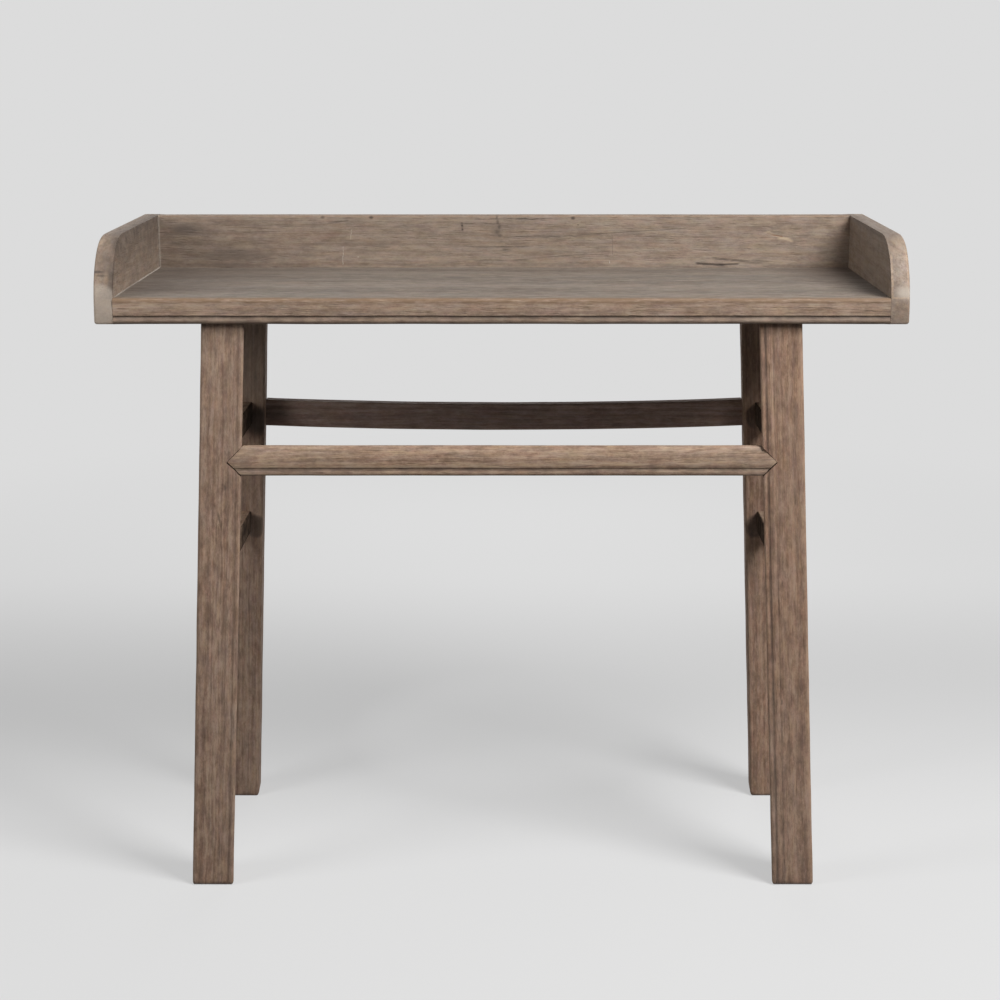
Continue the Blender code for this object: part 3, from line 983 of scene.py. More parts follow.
@dataclass
class Splay:
    """The lean of legs and stretchers, more the nearer they are to the floor."""

    underside: float = UNDERSIDE
    outward: float = 0.0345
    forward: float = 0.0113
    rearward: float = 0.030
    reach_x: float = 0.24713
    reach_y: float = 0.05515

    def lean(self, point: Vector) -> Vector:
        """Place of a point once its piece has been leaned.

        Args:
            point: place in the upright drawing.

        Returns:
            Place on the table.
        """
        drop = max(0.0, (self.underside - point.z) / self.underside)
        side = max(-1.0, min(1.0, point.x / self.reach_x))
        depth = max(-1.0, min(1.0, point.y / self.reach_y))
        along = self.forward if depth < 0.0 else self.rearward
        return point + Vector((self.outward * drop * side, along * drop * depth, 0.0))


TOP_TONE = Tone(
    dark=(0.096, 0.077, 0.062),
    middle=(0.153, 0.125, 0.102),
    pale=(0.210, 0.172, 0.141),
    grey=(0.174, 0.156, 0.136),
    worn=(0.270, 0.190, 0.128),
)
EDGE_TONE = Tone(
    dark=(0.161, 0.108, 0.078),
    middle=(0.271, 0.191, 0.140),
    pale=(0.373, 0.278, 0.210),
    grey=(0.280, 0.215, 0.165),
    worn=(0.300, 0.200, 0.125),
)
GALLERY_TONE = Tone(
    dark=(0.137, 0.094, 0.068),
    middle=(0.228, 0.166, 0.123),
    pale=(0.314, 0.241, 0.184),
    grey=(0.240, 0.202, 0.166),
    worn=(0.205, 0.124, 0.074),
)
END_TONE = replace(GALLERY_TONE, worn=(0.340, 0.225, 0.145))
LEG_TONE = Tone(
    dark=(0.137, 0.085, 0.062),
    middle=(0.255, 0.168, 0.120),
    pale=(0.377, 0.267, 0.197),
    grey=(0.287, 0.215, 0.169),
    worn=(0.360, 0.260, 0.185),
)
RIGHT_LEG_TONE = Tone(
    dark=(0.133, 0.079, 0.055),
    middle=(0.249, 0.156, 0.108),
    pale=(0.369, 0.247, 0.175),
    grey=(0.278, 0.201, 0.152),
    worn=(0.360, 0.255, 0.175),
)
STRETCHER_TONE = Tone(
    dark=(0.147, 0.091, 0.063),
    middle=(0.264, 0.177, 0.123),
    pale=(0.382, 0.275, 0.194),
    grey=(0.269, 0.207, 0.161),
    worn=(0.420, 0.310, 0.220),
)
REAR_TONE = Tone(
    dark=(0.179, 0.116, 0.093),
    middle=(0.299, 0.206, 0.169),
    pale=(0.432, 0.321, 0.272),
    grey=(0.305, 0.242, 0.213),
    worn=(0.420, 0.310, 0.240),
)
REAR_LEG_TONE = Tone(
    dark=(0.149, 0.090, 0.062),
    middle=(0.277, 0.175, 0.122),
    pale=(0.411, 0.277, 0.198),
    grey=(0.310, 0.225, 0.171),
    worn=(0.400, 0.290, 0.205),
)
JOINERY_TONE = Tone(
    dark=(0.210, 0.140, 0.088),
    middle=(0.320, 0.228, 0.146),
    pale=(0.430, 0.325, 0.220),
    grey=(0.330, 0.260, 0.190),
    worn=(0.450, 0.340, 0.230),
)
INK = (0.045, 0.032, 0.025)
# Painted shadow: the dark of the shade that the top and the side stretchers cast on the rear legs and
# stretchers
PAINTED_SHADOW = (0.050, 0.040, 0.034)
# Pale colour of a bleached patch, also used for a painted highlight and for painted light on a rear leg
PALE_AND_HIGHLIGHT = (0.400, 0.345, 0.290)
CREAM = (0.420, 0.325, 0.225)
GOLD = (0.172, 0.111, 0.069)
RUST = (0.150, 0.070, 0.040)
# Dark colour of cracks and smudges, also used for painted shade and painted shadows of the end boards
DIRT_AND_SHADE = (0.095, 0.072, 0.058)
# Pale dust colour, also used for painted light low on the front right leg
DUST_AND_LIGHT = (0.480, 0.440, 0.390)
RAW = (0.520, 0.360, 0.235)


@dataclass
class TableTop:
    """Two planks edge to edge, the front one with a groove and a bead along its lower edge."""

    half_length: float = 0.4857
    front: float = TOP_FRONT
    seam: float = -0.00496
    back: float = 0.1637
    underside: float = UNDERSIDE
    surface: float = SURFACE
    bead_width: float = 0.009
    groove_width: float = 0.0012
    groove_depth: float = 0.0014
    bead_round: float = 0.48
    bead_soil: float = 0.56
    groove_soil: float = 0.85
    arris: float = 0.005
    seam_edge: float = 0.0006
    gap: float = GAP
    tongue_length: float = 0.008
    tongue_thickness: float = 0.0099
    crown_start: float = 0.0016
    crown_end: float = 0.0002
    cuts: int = 120

    def front_marks(self) -> tuple[Mark, ...]:
        """Marks of the front plank.

        Returns:
            Cracks by the right end, dust by the left end board, painted shadows of the end boards, and
            a golden front edge.
        """
        front = self.front
        top = self.surface
        return (
            Line(INK, 0.7, 0.6, (0.440, front, 0.7735), (0.4880, front, 0.7765), 0.0011),
            Line(INK, 0.6, 0.6, (0.452, front, 0.7660), (0.4890, front, 0.7640), 0.0009),
            Line(INK, 0.6, 0.5, (0.330, front, 0.7700), (0.420, front, 0.7685), 0.0008),
            Seam(DUST_AND_LIGHT, 0.75, 0.0, (-0.4853, -0.200, top), (-0.4853, 0.200, top), 0.0015, UPWARD),
            # Painted shadow of the left end board
            Stain(DIRT_AND_SHADE, 0.66, 0.0, (-0.470, -0.060, top), (0.210, 0.120, 0.01), 0.1),
            # Painted shadow of the right end board
            Stain(DIRT_AND_SHADE, 0.58, 0.0, (0.490, 0.000, top), (0.090, 0.170, 0.01), 0.1),
            Line(GOLD, 0.90, 0.0, (-0.660, front, 0.7785), (0.660, front, 0.7785), 0.0060),
            Line(GOLD, 0.80, 0.0, (-0.660, -0.1830, top), (0.660, -0.1830, top), 0.0110, UPWARD),
        )

    def rear_marks(self) -> tuple[Mark, ...]:
        """Marks of the rear plank.

        Returns:
            Painted shade in the corners and along the back board, and dust by the left end board.
        """
        top = self.surface
        return (
            # Painted shadow of the left end board
            Stain(DIRT_AND_SHADE, 0.58, 0.0, (-0.480, 0.080, top), (0.320, 0.160, 0.01), 0.1),
            # Painted shade along the foot of the back board
            Stain(DIRT_AND_SHADE, 0.16, 0.0, (0.0, 0.165, top), (0.700, 0.110, 0.01), 0.2),
            # Painted shadow of the right end board in the right rear corner
            Stain(DIRT_AND_SHADE, 0.90, 0.0, (0.490, 0.120, top), (0.140, 0.240, 0.01), 0.15),
            Seam(DUST_AND_LIGHT, 0.75, 0.0, (-0.4853, -0.200, top), (-0.4853, 0.200, top), 0.0015, UPWARD),
            Line(DUST_AND_LIGHT, 0.50, 0.0, (-0.4850, 0.1630, top), (-0.4000, 0.1630, top), 0.0022, UPWARD),
        )

    def tongue_levels(self, room: float) -> Pair:
        """Heights of the tongue, or of the groove round it.

        Args:
            room: what each face stands off the tongue.

        Returns:
            Lower and upper height.
        """
        middle = (self.underside + self.surface) / 2
        half = self.tongue_thickness / 2 + room
        return middle - half, middle + half

    def plank(self, section: Sequence[Pair]) -> Blank:
        """Draw a plank and part its long faces.

        Args:
            section: corners as (depth, height).

        Returns:
            The plank.
        """
        end = self.half_length
        blank = Blank.moulding([(-end, y, z) for y, z in section], (2 * end, 0.0, 0.0))
        blank.slice(Axis.X, self.cuts)
        return blank

    def at_end(self, point: Vector) -> bool:
        """Whether a point lies on an end of a plank."""
        return abs(point.x) > self.half_length - CLOSE

    def build_front(self) -> None:
        """Make the front plank with its bead, groove and worn upper edge."""
        low = self.underside
        rear = self.seam - self.gap / 2
        lower, upper = self.tongue_levels(self.gap)
        inner = rear - self.tongue_length - self.gap
        lip = low + self.bead_width
        floor = self.front + self.groove_depth
        profile = bead(self.bead_width, self.groove_width, self.groove_depth)
        section = [(self.front + sunk, low + rise) for rise, sunk in profile]
        section += [
            (self.front, lip + self.groove_width + GROOVE_SLOPE),
            (self.front, self.surface),
            (rear, self.surface),
            (rear, upper),
            (inner, upper),
            (inner, lower),
            (rear, lower),
            (rear, low),
        ]
        blank = self.plank(section)
        blank.darken(lambda p: p.y < floor + CLOSE and p.z < lip, self.bead_soil)
        blank.darken(at(y=floor), self.groove_soil)
        eased = (
            (at(y=self.front, z=low), self.bead_round * self.bead_width, 5),
            (at(y=self.front, z=self.surface), self.arris, 6),
            (at(y=rear, z=self.surface), self.seam_edge, 2),
        )
        for where, radius, segments in eased:
            blank.ease(blank.edges(Axis.X, where), radius, segments, worn=0.0)
        blank.weather(depth=0.0007, pitch=0.07, seed=1.3, sound=self.at_end)
        piece = blank.into_object("front_top_plank_finished")
        finish = ElmFinish(
            "front_plank_elm",
            EDGE_TONE,
            grain=(1.0, 0.012, 0.004),
            heart=(0.05, -0.10),
            seed=2.1,
            greying=0.45,
            shine=0.2,
            crown=Crown(TOP_TONE, self.surface - self.crown_start, self.surface - self.crown_end),
            marks=self.front_marks(),
        )
        hand_over(piece, "front_top_plank", finish)

    def build_rear(self) -> None:
        """Make the rear plank with its tongue."""
        low = self.underside
        near = self.seam + self.gap / 2
        lower, upper = self.tongue_levels(0.0)
        tip = near - self.tongue_length
        section = (
            (near, low),
            (near, lower),
            (tip, lower),
            (tip, upper),
            (near, upper),
            (near, self.surface),
            (self.back, self.surface),
            (self.back, low),
        )
        blank = self.plank(section)
        blank.ease(blank.edges(Axis.X, at(y=near, z=self.surface)), self.seam_edge, 2, worn=0.0)
        blank.weather(depth=0.0006, pitch=0.08, seed=4.1, sound=self.at_end)
        piece = blank.into_object("rear_top_plank_finished")
        finish = ElmFinish(
            "rear_plank_elm",
            TOP_TONE,
            grain=(1.0, -0.010, 0.003),
            heart=(-0.08, -0.09),
            seed=5.7,
            greying=0.6,
            shine=0.2,
            marks=self.rear_marks(),
        )
        hand_over(piece, "rear_top_plank", finish)

    def build(self) -> None:
        """Make both planks."""
        self.build_front()
        self.build_rear()


@dataclass
class Gallery:
    """Two shaped end boards that cap the ends of the top, and a back board between them."""

    inner: float = 0.486
    outer: float = 0.510
    board_end: float = 0.4857
    front: float = TOP_FRONT
    back: float = 0.188
    back_face: float = 0.164
    underside: float = UNDERSIDE
    rail: float = 0.854
    surface: float = SURFACE
    curve_start: float = 0.014
    curve_depth: float = 0.088
    curve_rise: float = 0.41
    curve_run: float = 0.77
    foot_edge: float = 0.003
    foot_cut: float = 0.3
    outer_edge: float = 0.0044
    inner_edges: Pair = (0.0072, 0.0046)
    inner_shades: Pair = (0.92, 0.45)
    shade_reach: float = 0.9
    edge_slack: float = 0.001
    hidden_edge: float = 0.0006
    upper_edge: float = 0.0026
    lower_edge: float = 0.0015
    curve_steps: int = 26
    cuts: int = 120

    def side_view(self) -> list[Pair]:
        """Outline of an end board.

        Returns:
            Points as (depth, height).
        """
        begin = Vector((self.front, self.underside + self.curve_start))
        finish = Vector((self.front + self.curve_depth, self.rail))
        rise = finish.y - begin.y
        curve = interpolate_bezier(
            begin,
            begin + Vector((0.0, self.curve_rise * rise)),
            finish - Vector((self.curve_run * self.curve_depth, 0.0)),
            finish,
            self.curve_steps,
        )
        points = [(point[0], point[1]) for point in curve]
        off = self.foot_cut * self.foot_edge
        return points + [
            (self.back, self.rail),
            (self.back, self.underside),
            (self.front + self.foot_edge, self.underside),
            (self.front + off, self.underside + off),
            (self.front, self.underside + self.foot_edge),
        ]

    def end_marks(self, side: Side) -> tuple[Mark, ...]:
        """Worn and bruised places of an end board, and a painted highlight on the right one.

        Args:
            side: which board.

        Returns:
            Its marks.
        """
        front = self.front
        inward = (-side.value, 0.0, 0.0)
        if side is Side.LEFT:
            return (
                Stain(PALE_AND_HIGHLIGHT, 0.50, 0.0, (-0.502, front, 0.774), (0.026, 0.012, 0.034), 0.7),
                Stain(DIRT_AND_SHADE, 0.40, 0.0, (-0.503, -0.170, 0.828), (0.014, 0.030, 0.024), 0.3),
                Stain(INK, 0.75, 0.5, (-0.505, -0.178, 0.8125), (0.009, 0.014, 0.0024), 0.4),
                Stain(INK, 0.5, 0.3, (-0.499, -0.179, 0.8080), (0.010, 0.014, 0.0018), 0.4),
                Stain(RAW, 0.30, 0.0, (-0.4940, -0.185, 0.812), (0.0050, 0.014, 0.026), 0.1),
                Stain(DIRT_AND_SHADE, 0.35, 0.0, (-0.4980, 0.0, 0.8560), (0.040, 0.260, 0.012), 0.3),
                Seam(DUST_AND_LIGHT, 0.4, 0.0, (-0.486, -0.185, 0.7812), (-0.486, 0.200, 0.7812), 0.0008, inward),
                Seam(DUST_AND_LIGHT, 0.15, 0.0, (-0.486, 0.1630, 0.770), (-0.486, 0.1630, 0.860), 0.0020, inward),
            )
        return (
            # Painted highlight: a glossy pale patch on the curved front
            Stain(PALE_AND_HIGHLIGHT, 0.85, 0.0, (0.5040, front, 0.7885), (0.020, 0.012, 0.0150), 0.2),
            Stain(DIRT_AND_SHADE, 0.22, 0.0, (0.4980, front, 0.763), (0.040, 0.012, 0.020), 0.75),
            Line(RAW, 0.35, 0.0, (0.4860, front, 0.7815), (0.5120, front, 0.7808), 0.0014),
            Line(RAW, 0.22, 0.0, (0.508, -0.186, 0.796), (0.5075, -0.16, 0.838), 0.003, sink=0.03),
            Line(RAW, 0.30, 0.0, (0.4875, -0.189, 0.776), (0.488, -0.16, 0.836), 0.002, sink=0.03),
            Stain(DIRT_AND_SHADE, 0.50, 0.0, (0.4980, 0.010, 0.8560), (0.040, 0.240, 0.014), 0.5),
        )

    def build_end(self, side: Side) -> None:
        """Make one end board.

        Args:
            side: which board.
        """
        sign = side.value
        order = 0 if side is Side.LEFT else 1
        inner_edge = self.inner_edges[order]
        outline = [(sign * self.inner, y, z) for y, z in self.side_view()]
        blank = Blank.moulding(outline, (sign * (self.outer - self.inner), 0.0, 0.0))
        blank.ease(blank.rim(Axis.X, sign * self.outer), self.outer_edge, segments=4, worn=0.25)
        lowest = self.surface + inner_edge - self.edge_slack
        rim = blank.rim(Axis.X, sign * self.inner)
        shown = [edge for edge in rim if min(v.co.z for v in edge.verts) > lowest]
        blank.ease(shown, inner_edge, segments=4, worn=0.2)
        # Painted shade: darken the inner faces above the top, the left board's more than the right's
        shaded_within = self.inner + self.shade_reach * inner_edge
        blank.darken(lambda p: abs(p.x) < shaded_within and p.z > self.surface, self.inner_shades[order])
        rim = blank.rim(Axis.X, sign * self.inner)
        hidden = [
            edge for edge in rim if all(v.co.y < 0.0 and v.co.z < self.surface for v in edge.verts)
        ]
        blank.ease(hidden, self.hidden_edge, segments=2, worn=0.0)
        innermost = self.inner + CLOSE
        blank.weather(depth=0.0004, pitch=0.05, seed=7.7 * sign, sound=lambda p: abs(p.x) < innermost)
        piece = blank.into_object(f"{side.word}_end_board_finished")
        finish = ElmFinish(
            f"{side.word}_end_elm",
            END_TONE,
            grain=(0.03, 1.0, 0.02),
            heart=(0.02, -0.07),
            seed=3.3 + sign,
            greying=0.5,
            contrast=0.8,
            roughness=(0.46, 0.64),
            shine=0.3,
            marks=self.end_marks(side),
        )
        hand_over(piece, f"{side.word}_end_board", finish)

    def back_marks(self) -> tuple[Mark, ...]:
        """Marks of the back board's front face.

        Returns:
            Knots, cracks, scratches and stains, and painted shade in the lower right corner.
        """
        y = self.back_face
        wide = 0.012
        return (
            Stain(DIRT_AND_SHADE, 0.36, 0.0, (-0.450, y, 0.810), (0.330, wide, 0.120), 0.1),
            Stain(DIRT_AND_SHADE, 0.14, 0.0, (-0.050, y, 0.810), (0.330, wide, 0.120), 0.3),
            # Painted shade in the lower right corner by the right end board
            Stain(DIRT_AND_SHADE, 0.14, 0.0, (0.486, y, 0.776), (0.060, wide, 0.065), 0.2),
            Seam(DUST_AND_LIGHT, 0.24, 0.0, (-0.4846, y, 0.770), (-0.4846, y, 0.860), 0.0018),
            Stain(DIRT_AND_SHADE, 0.88, 0.2, (-0.4480, y, 0.8335), (0.028, wide, 0.012), 0.1),
            Spot(DIRT_AND_SHADE, 0.70, 0.3, (-0.4380, y, 0.8350), (0.036, wide, 0.012), 0.1),
            Stain(DIRT_AND_SHADE, 0.55, 0.0, (-0.3859, y, 0.7984), (0.080, wide, 0.014), 0.1),
            Spot(DIRT_AND_SHADE, 0.60, 0.3, (-0.3600, y, 0.7950), (0.110, wide, 0.012), 0.1),
            Stain(DIRT_AND_SHADE, 0.55, 0.0, (-0.3850, y, 0.7835), (0.075, wide, 0.0045), 0.3),
            Spot(DIRT_AND_SHADE, 0.60, 0.2, (-0.2750, y, 0.8085), (0.018, wide, 0.0070), 0.1),
            Stain(RUST, 0.17, 0.0, (-0.2515, y, 0.8263), (0.045, wide, 0.0120), 0.2),
            Line(DIRT_AND_SHADE, 0.85, 0.3, (-0.2500, y, 0.8425), (-0.2160, y, 0.8470), 0.0018),
            Stain(INK, 0.60, 0.4, (-0.2543, y, 0.8512), (0.0040, wide, 0.0030), 0.3),
            Stain(INK, 0.80, 0.6, (-0.1863, y, 0.8510), (0.0046, wide, 0.0030), 0.3, 0.5),
            Stain(INK, 0.80, 0.6, (0.0973, y, 0.8500), (0.0044, wide, 0.0032), 0.3, 0.5),
            Spot(INK, 0.60, 0.4, (0.1044, y, 0.8405), (0.0020, wide, 0.0014), 0.3),
            Spot(DIRT_AND_SHADE, 0.60, 0.2, (-0.2183, y, 0.8500), (0.012, wide, 0.0020), 0.2),
            Line(DUST_AND_LIGHT, 0.55, 0.2, (-0.2263, y, 0.8125), (-0.2269, y, 0.7829), 0.0007),
            Line(DUST_AND_LIGHT, 0.50, 0.2, (-0.2133, y, 0.8350), (-0.2151, y, 0.8195), 0.0007),
            Spot(DUST_AND_LIGHT, 0.50, 0.0, (-0.2055, y, 0.7956), (0.0020, wide, 0.0020), 0.2),
            Line(INK, 0.75, 0.6, (-0.0523, y, 0.8489), (0.0931, y, 0.8489), 0.0010),
            Stain(INK, 0.55, 0.5, (-0.0098, y, 0.8515), (0.0026, wide, 0.0050), 0.1),
            Stain(INK, 0.60, 0.5, (-0.0086, y, 0.8445), (0.0034, wide, 0.0055), 0.1),
            Stain(INK, 0.65, 0.5, (-0.0064, y, 0.8375), (0.0036, wide, 0.0055), 0.1),
            Stain(INK, 0.60, 0.5, (-0.0092, y, 0.8305), (0.0050, wide, 0.0050), 0.1),
            Stain(INK, 0.55, 0.5, (-0.0056, y, 0.8255), (0.0052, wide, 0.0036), 0.1),
            Stain(DIRT_AND_SHADE, 0.45, 0.2, (-0.0085, y, 0.8330), (0.0130, wide, 0.0170), 0.1),
            Stain(DIRT_AND_SHADE, 0.45, 0.2, (0.0040, y, 0.8070), (0.0120, wide, 0.0060), 0.1),
            Line(INK, 0.90, 0.5, (-0.0590, y, 0.8450), (-0.0580, y, 0.8320), 0.0022),
            Line(INK, 0.65, 0.5, (-0.0613, y, 0.8425), (-0.0013, y, 0.8420), 0.0009),
            Line(DIRT_AND_SHADE, 0.85, 0.4, (-0.0600, y, 0.8097), (0.0400, y, 0.8097), 0.0014),
            Line(DIRT_AND_SHADE, 0.80, 0.3, (-0.0440, y, 0.7905), (0.0407, y, 0.7915), 0.0016),
            Line(DIRT_AND_SHADE, 0.50, 0.3, (0.0300, y, 0.7930), (0.1250, y, 0.8000), 0.0014),
            Spot(DIRT_AND_SHADE, 0.60, 0.2, (0.0017, y, 0.8054), (0.0060, wide, 0.0040), 0.2),
            Line(DIRT_AND_SHADE, 0.85, 0.5, (-0.0100, y, 0.8235), (0.1177, y, 0.8250), 0.0016),
            Seam(DIRT_AND_SHADE, 0.75, 0.6, (0.0927, y, 0.8258), (0.2677, y, 0.8362), 0.0007),
            Seam(DIRT_AND_SHADE, 0.55, 0.5, (0.1520, y, 0.8310), (0.1532, y, 0.7960), 0.0006),
            Spot(DUST_AND_LIGHT, 0.85, 0.0, (0.1491, y, 0.7886), (0.0010, wide, 0.0030), 0.2),
            Spot(CREAM, 0.90, 0.0, (0.3717, y, 0.8300), (0.0075, wide, 0.0024), 0.3),
            Spot(CREAM, 0.90, 0.0, (0.3937, y, 0.8215), (0.0110, wide, 0.0032), 0.3),
            Line(CREAM, 0.80, 0.0, (0.3677, y, 0.8310), (0.4097, y, 0.8165), 0.0024),
            Line(RUST, 0.90, 0.5, (0.3687, y, 0.8290), (0.3937, y, 0.8240), 0.0016),
            Seam(INK, 0.85, 0.9, (0.2677, y, 0.7868), (0.3137, y, 0.7838), 0.0023),
            Seam(INK, 0.80, 0.9, (0.3007, y, 0.7846), (0.3337, y, 0.7858), 0.0018),
            Line(DIRT_AND_SHADE, 0.90, 0.3, (0.2897, y, 0.7935), (0.3637, y, 0.7885), 0.0026),
            Spot(DIRT_AND_SHADE, 0.85, 0.2, (0.3557, y, 0.7890), (0.0220, wide, 0.0045), 0.2, 0.4),
        )

    def build_back(self) -> None:
        """Make the back board with its softened upper edges."""
        end = self.board_end
        blank = Blank.board((-end, self.back_face, self.underside), (end, self.back, self.rail))
        blank.slice(Axis.X, self.cuts)
        upper = blank.edges(Axis.X, lambda p: p.z > self.surface)
        blank.ease(upper, self.upper_edge, segments=3, worn=1.0)
        lower = blank.edges(Axis.X, at(y=self.back, z=self.underside))
        blank.ease(lower, self.lower_edge, segments=2, worn=0.7)
        outermost = end - CLOSE
        blank.weather(depth=0.0007, pitch=0.09, seed=9.2, sound=lambda p: abs(p.x) > outermost)
        piece = blank.into_object("back_board_finished")
        finish = ElmFinish(
            "back_board_elm",
            GALLERY_TONE,
            grain=(1.0, 0.004, -0.006),
            heart=(0.06, -0.13),
            seed=8.4,
            ring_pitch=0.011,
            greying=0.45,
            marks=self.back_marks(),
        )
        hand_over(piece, "back_board", finish)

    def build(self) -> None:
        """Make the three boards."""
        for side in Side:
            self.build_end(side)
        self.build_back()


@dataclass
class LegSet:
    """Four splayed legs, the front ones with a bead and a scored line by their inner edge."""

    splay: Splay
    inner: float = 0.3295
    outer: float = 0.378
    front_face: float = 0.179
    rear_face: float = 0.1603
    flare: float = 0.007
    rear_flare: float = 0.0025
    depth: float = 0.050
    edge: float = 0.0045
    foot_edge: float = 0.006
    side_foot_edge: float = 0.0036
    head: float = UNDERSIDE - GAP
    bead_width: float = 0.0072
    groove_width: float = 0.0014
    groove_depth: float = 0.0008
    bead_round: float = 0.48
    groove_soils: Pair = (0.35, 0.65)
    line_place: float = 0.0160
    line_width: float = 0.0024
    line_depth: float = 0.0004
    tenon_side: float = 0.02522
    tenon_length: float = 0.0198
    cuts: int = 90
    mitre_depth: float = 0.019
    mitre_rise: float = 0.0182
    mitre_thickness: float = 0.01196
    mitre_gap: float = 0.0016
    tip_room: float = 0.00042
    stretcher_top: float = 0.5912
    stretcher_bottom: float = 0.5532
    overlap: float = 0.004
    gap: float = GAP

    def plan(self, front: bool) -> list[Pair]:
        """Plan of a leg.

        Args:
            front: whether it is a front leg.

        Returns:
            Corners as (distance from the middle plane, distance from the outward face).
        """
        corners = [(self.inner + self.rear_flare, 0.0)]
        if front:
            start = self.inner - self.flare
            profile = bead(self.bead_width, self.groove_width, self.groove_depth)
            corners = [(start + along, sunk) for along, sunk in profile]
            line = start + self.line_place
            corners += [
                (corners[-1][0] + GROOVE_SLOPE, 0.0),
                (line, 0.0),
                (line + 0.4 * self.line_width, self.line_depth),
                (line + 0.6 * self.line_width, self.line_depth),
                (line + self.line_width, 0.0),
            ]
        return corners + [(self.outer, 0.0), (self.outer, self.depth), (self.inner, self.depth)]

    def notch(self, sign: int) -> Blank:
        """Tool for the pointed notch that takes the front stretcher's shoulder.

        Args:
            sign: side of the leg.

        Returns:
            The tool.
        """
        tip_z = self.stretcher_bottom + self.mitre_rise
        up = (self.stretcher_top - tip_z) / self.mitre_depth
        down = self.mitre_rise / self.mitre_depth
        face = self.inner - self.flare
        start = face - self.mitre_depth / 2
        tip = face + self.mitre_depth + self.tip_room
        mouth = -self.front_face - self.overlap
        outline = (
            (sign * start, mouth, tip_z - down * (tip - start) - self.mitre_gap),
            (sign * tip, mouth, tip_z - self.mitre_gap),
            (sign * tip, mouth, tip_z),
            (sign * start, mouth, tip_z + up * (tip - start)),
        )
        blank = Blank.moulding(outline, (0.0, self.mitre_thickness + self.gap + self.overlap, 0.0))
        blank.bend(self.splay.lean)
        return blank

    def marks(self, side: Side, front: bool) -> tuple[Mark, ...]:
        """Cracks, knots and stains of one leg, with painted shadow and painted light.

        Args:
            side: its side.
            front: whether it is a front leg.

        Returns:
            The marks.
        """
        if front and side is Side.LEFT:
            return (
                Line(INK, 0.60, 0.3, (-0.3675, -0.1825, 0.520), (-0.3565, -0.1830, 0.476), 0.0024),
                Spot(DIRT_AND_SHADE, 0.7, 0.3, (-0.3531, -0.1822, 0.5379), (0.003, 0.012, 0.005), 0.2),
                Spot(DIRT_AND_SHADE, 0.6, 0.3, (-0.3560, -0.1821, 0.5420), (0.002, 0.012, 0.004), 0.2),
            )
        if front:
            return (
                Spot(INK, 0.6, 0.4, (0.3601, -0.1841, 0.4105), (0.0022, 0.012, 0.007), 0.2, 0.4),
                Spot(INK, 0.6, 0.4, (0.3641, -0.1865, 0.2535), (0.0020, 0.012, 0.006), 0.2, 0.4),
                # Painted light low on the leg, where the floor's bounce lights it
                Stain(DUST_AND_LIGHT, 0.05, 0.0, (0.3750, -0.190, 0.110), (0.060, 0.030, 0.260), 0.3),
            )
        if side is Side.LEFT:
            return (
                # Painted light on the shaded upper front of the rear left leg
                Stain(PALE_AND_HIGHLIGHT, 0.24, 0.0, (-0.3500, 0.113, 0.665), (0.040, 0.014, 0.085), 0.6),
                # Painted shadows where the side stretchers shade the rear left leg
                Stain(PAINTED_SHADOW, 0.80, 0.0, (-0.3470, 0.1172, 0.570), (0.026, 0.012, 0.028), 0.4),
                Stain(PAINTED_SHADOW, 0.60, 0.0, (-0.3560, 0.1238, 0.415), (0.017, 0.012, 0.020), 0.7),
            )
        return (
            # Painted shade on the upper front of the rear right leg
            Stain(PAINTED_SHADOW, 0.22, 0.0, (0.3450, 0.113, 0.660), (0.030, 0.012, 0.090), 0.6),
            # Painted shadows where the side stretchers shade the rear right leg
            Stain(PAINTED_SHADOW, 0.50, 0.0, (0.3540, 0.1172, 0.575), (0.014, 0.012, 0.020), 0.7),
            Stain(PAINTED_SHADOW, 0.60, 0.0, (0.3592, 0.1238, 0.415), (0.017, 0.012, 0.020), 0.7),
        )

    def finish(self, name: str, side: Side, front: bool, seed: float) -> ElmFinish:
        """Wood of one leg.

        Args:
            name: name of the leg.
            side: its side.
            front: whether it is a front leg.
            seed: which part of the block it was cut from.

        Returns:
            The finish.
        """
        sign = side.value
        depth = -1.0 if front else 1.0
        lean = self.splay.forward if front else self.splay.rearward
        tone = LEG_TONE
        if side is Side.RIGHT:
            tone = RIGHT_LEG_TONE if front else REAR_LEG_TONE
        return ElmFinish(
            f"{name}_elm",
            tone,
            grain=(-sign * self.splay.outward, -depth * lean, self.splay.underside),
            heart=(0.05 * depth, 0.06 * sign),
            seed=seed,
            ring_pitch=0.0075,
            greying=0.4,
            roughness=(0.58, 0.76),
            shine=0.15,
            foot_soil=0.6,
            marks=self.marks(side, front),
        )

    def round_foot(self, blank: Blank, sign: int, depth: float, face: float) -> None:
        """Round the edges of a straight leg's foot.

        Args:
            blank: the leg before it is splayed.
            sign: side of the leg.
            depth: -1 for a front leg, 1 for a rear one.
            face: distance of its outward face from the middle.
        """
        front = depth < 0
        start = self.inner - self.flare if front else self.inner + self.rear_flare
        tilt = (self.flare if front else -self.rear_flare) / self.depth
        sides = (
            ((start, 0.0), (-1.0, tilt), self.foot_edge),
            ((self.outer, 0.0), (1.0, 0.0), self.foot_edge),
            ((self.outer, 0.0), (0.0, -1.0), self.side_foot_edge),
            ((self.outer, self.depth), (0.0, 1.0), self.side_foot_edge),
        )
        for (u, v), (along, across), radius in sides:
            way = Vector((sign * along, -depth * across, 0.0)).normalized()
            corner = Vector((sign * u, depth * (face - v), 0.0))
            for turn in FOOT_TURNS:
                lift = Vector((0.0, 0.0, (1 - sin(turn)) * radius))
                point = corner - (1 - cos(turn)) * radius * way + lift
                normal = cos(turn) * way - Vector((0.0, 0.0, sin(turn)))
                blank.saw(tuple(point), tuple(normal))

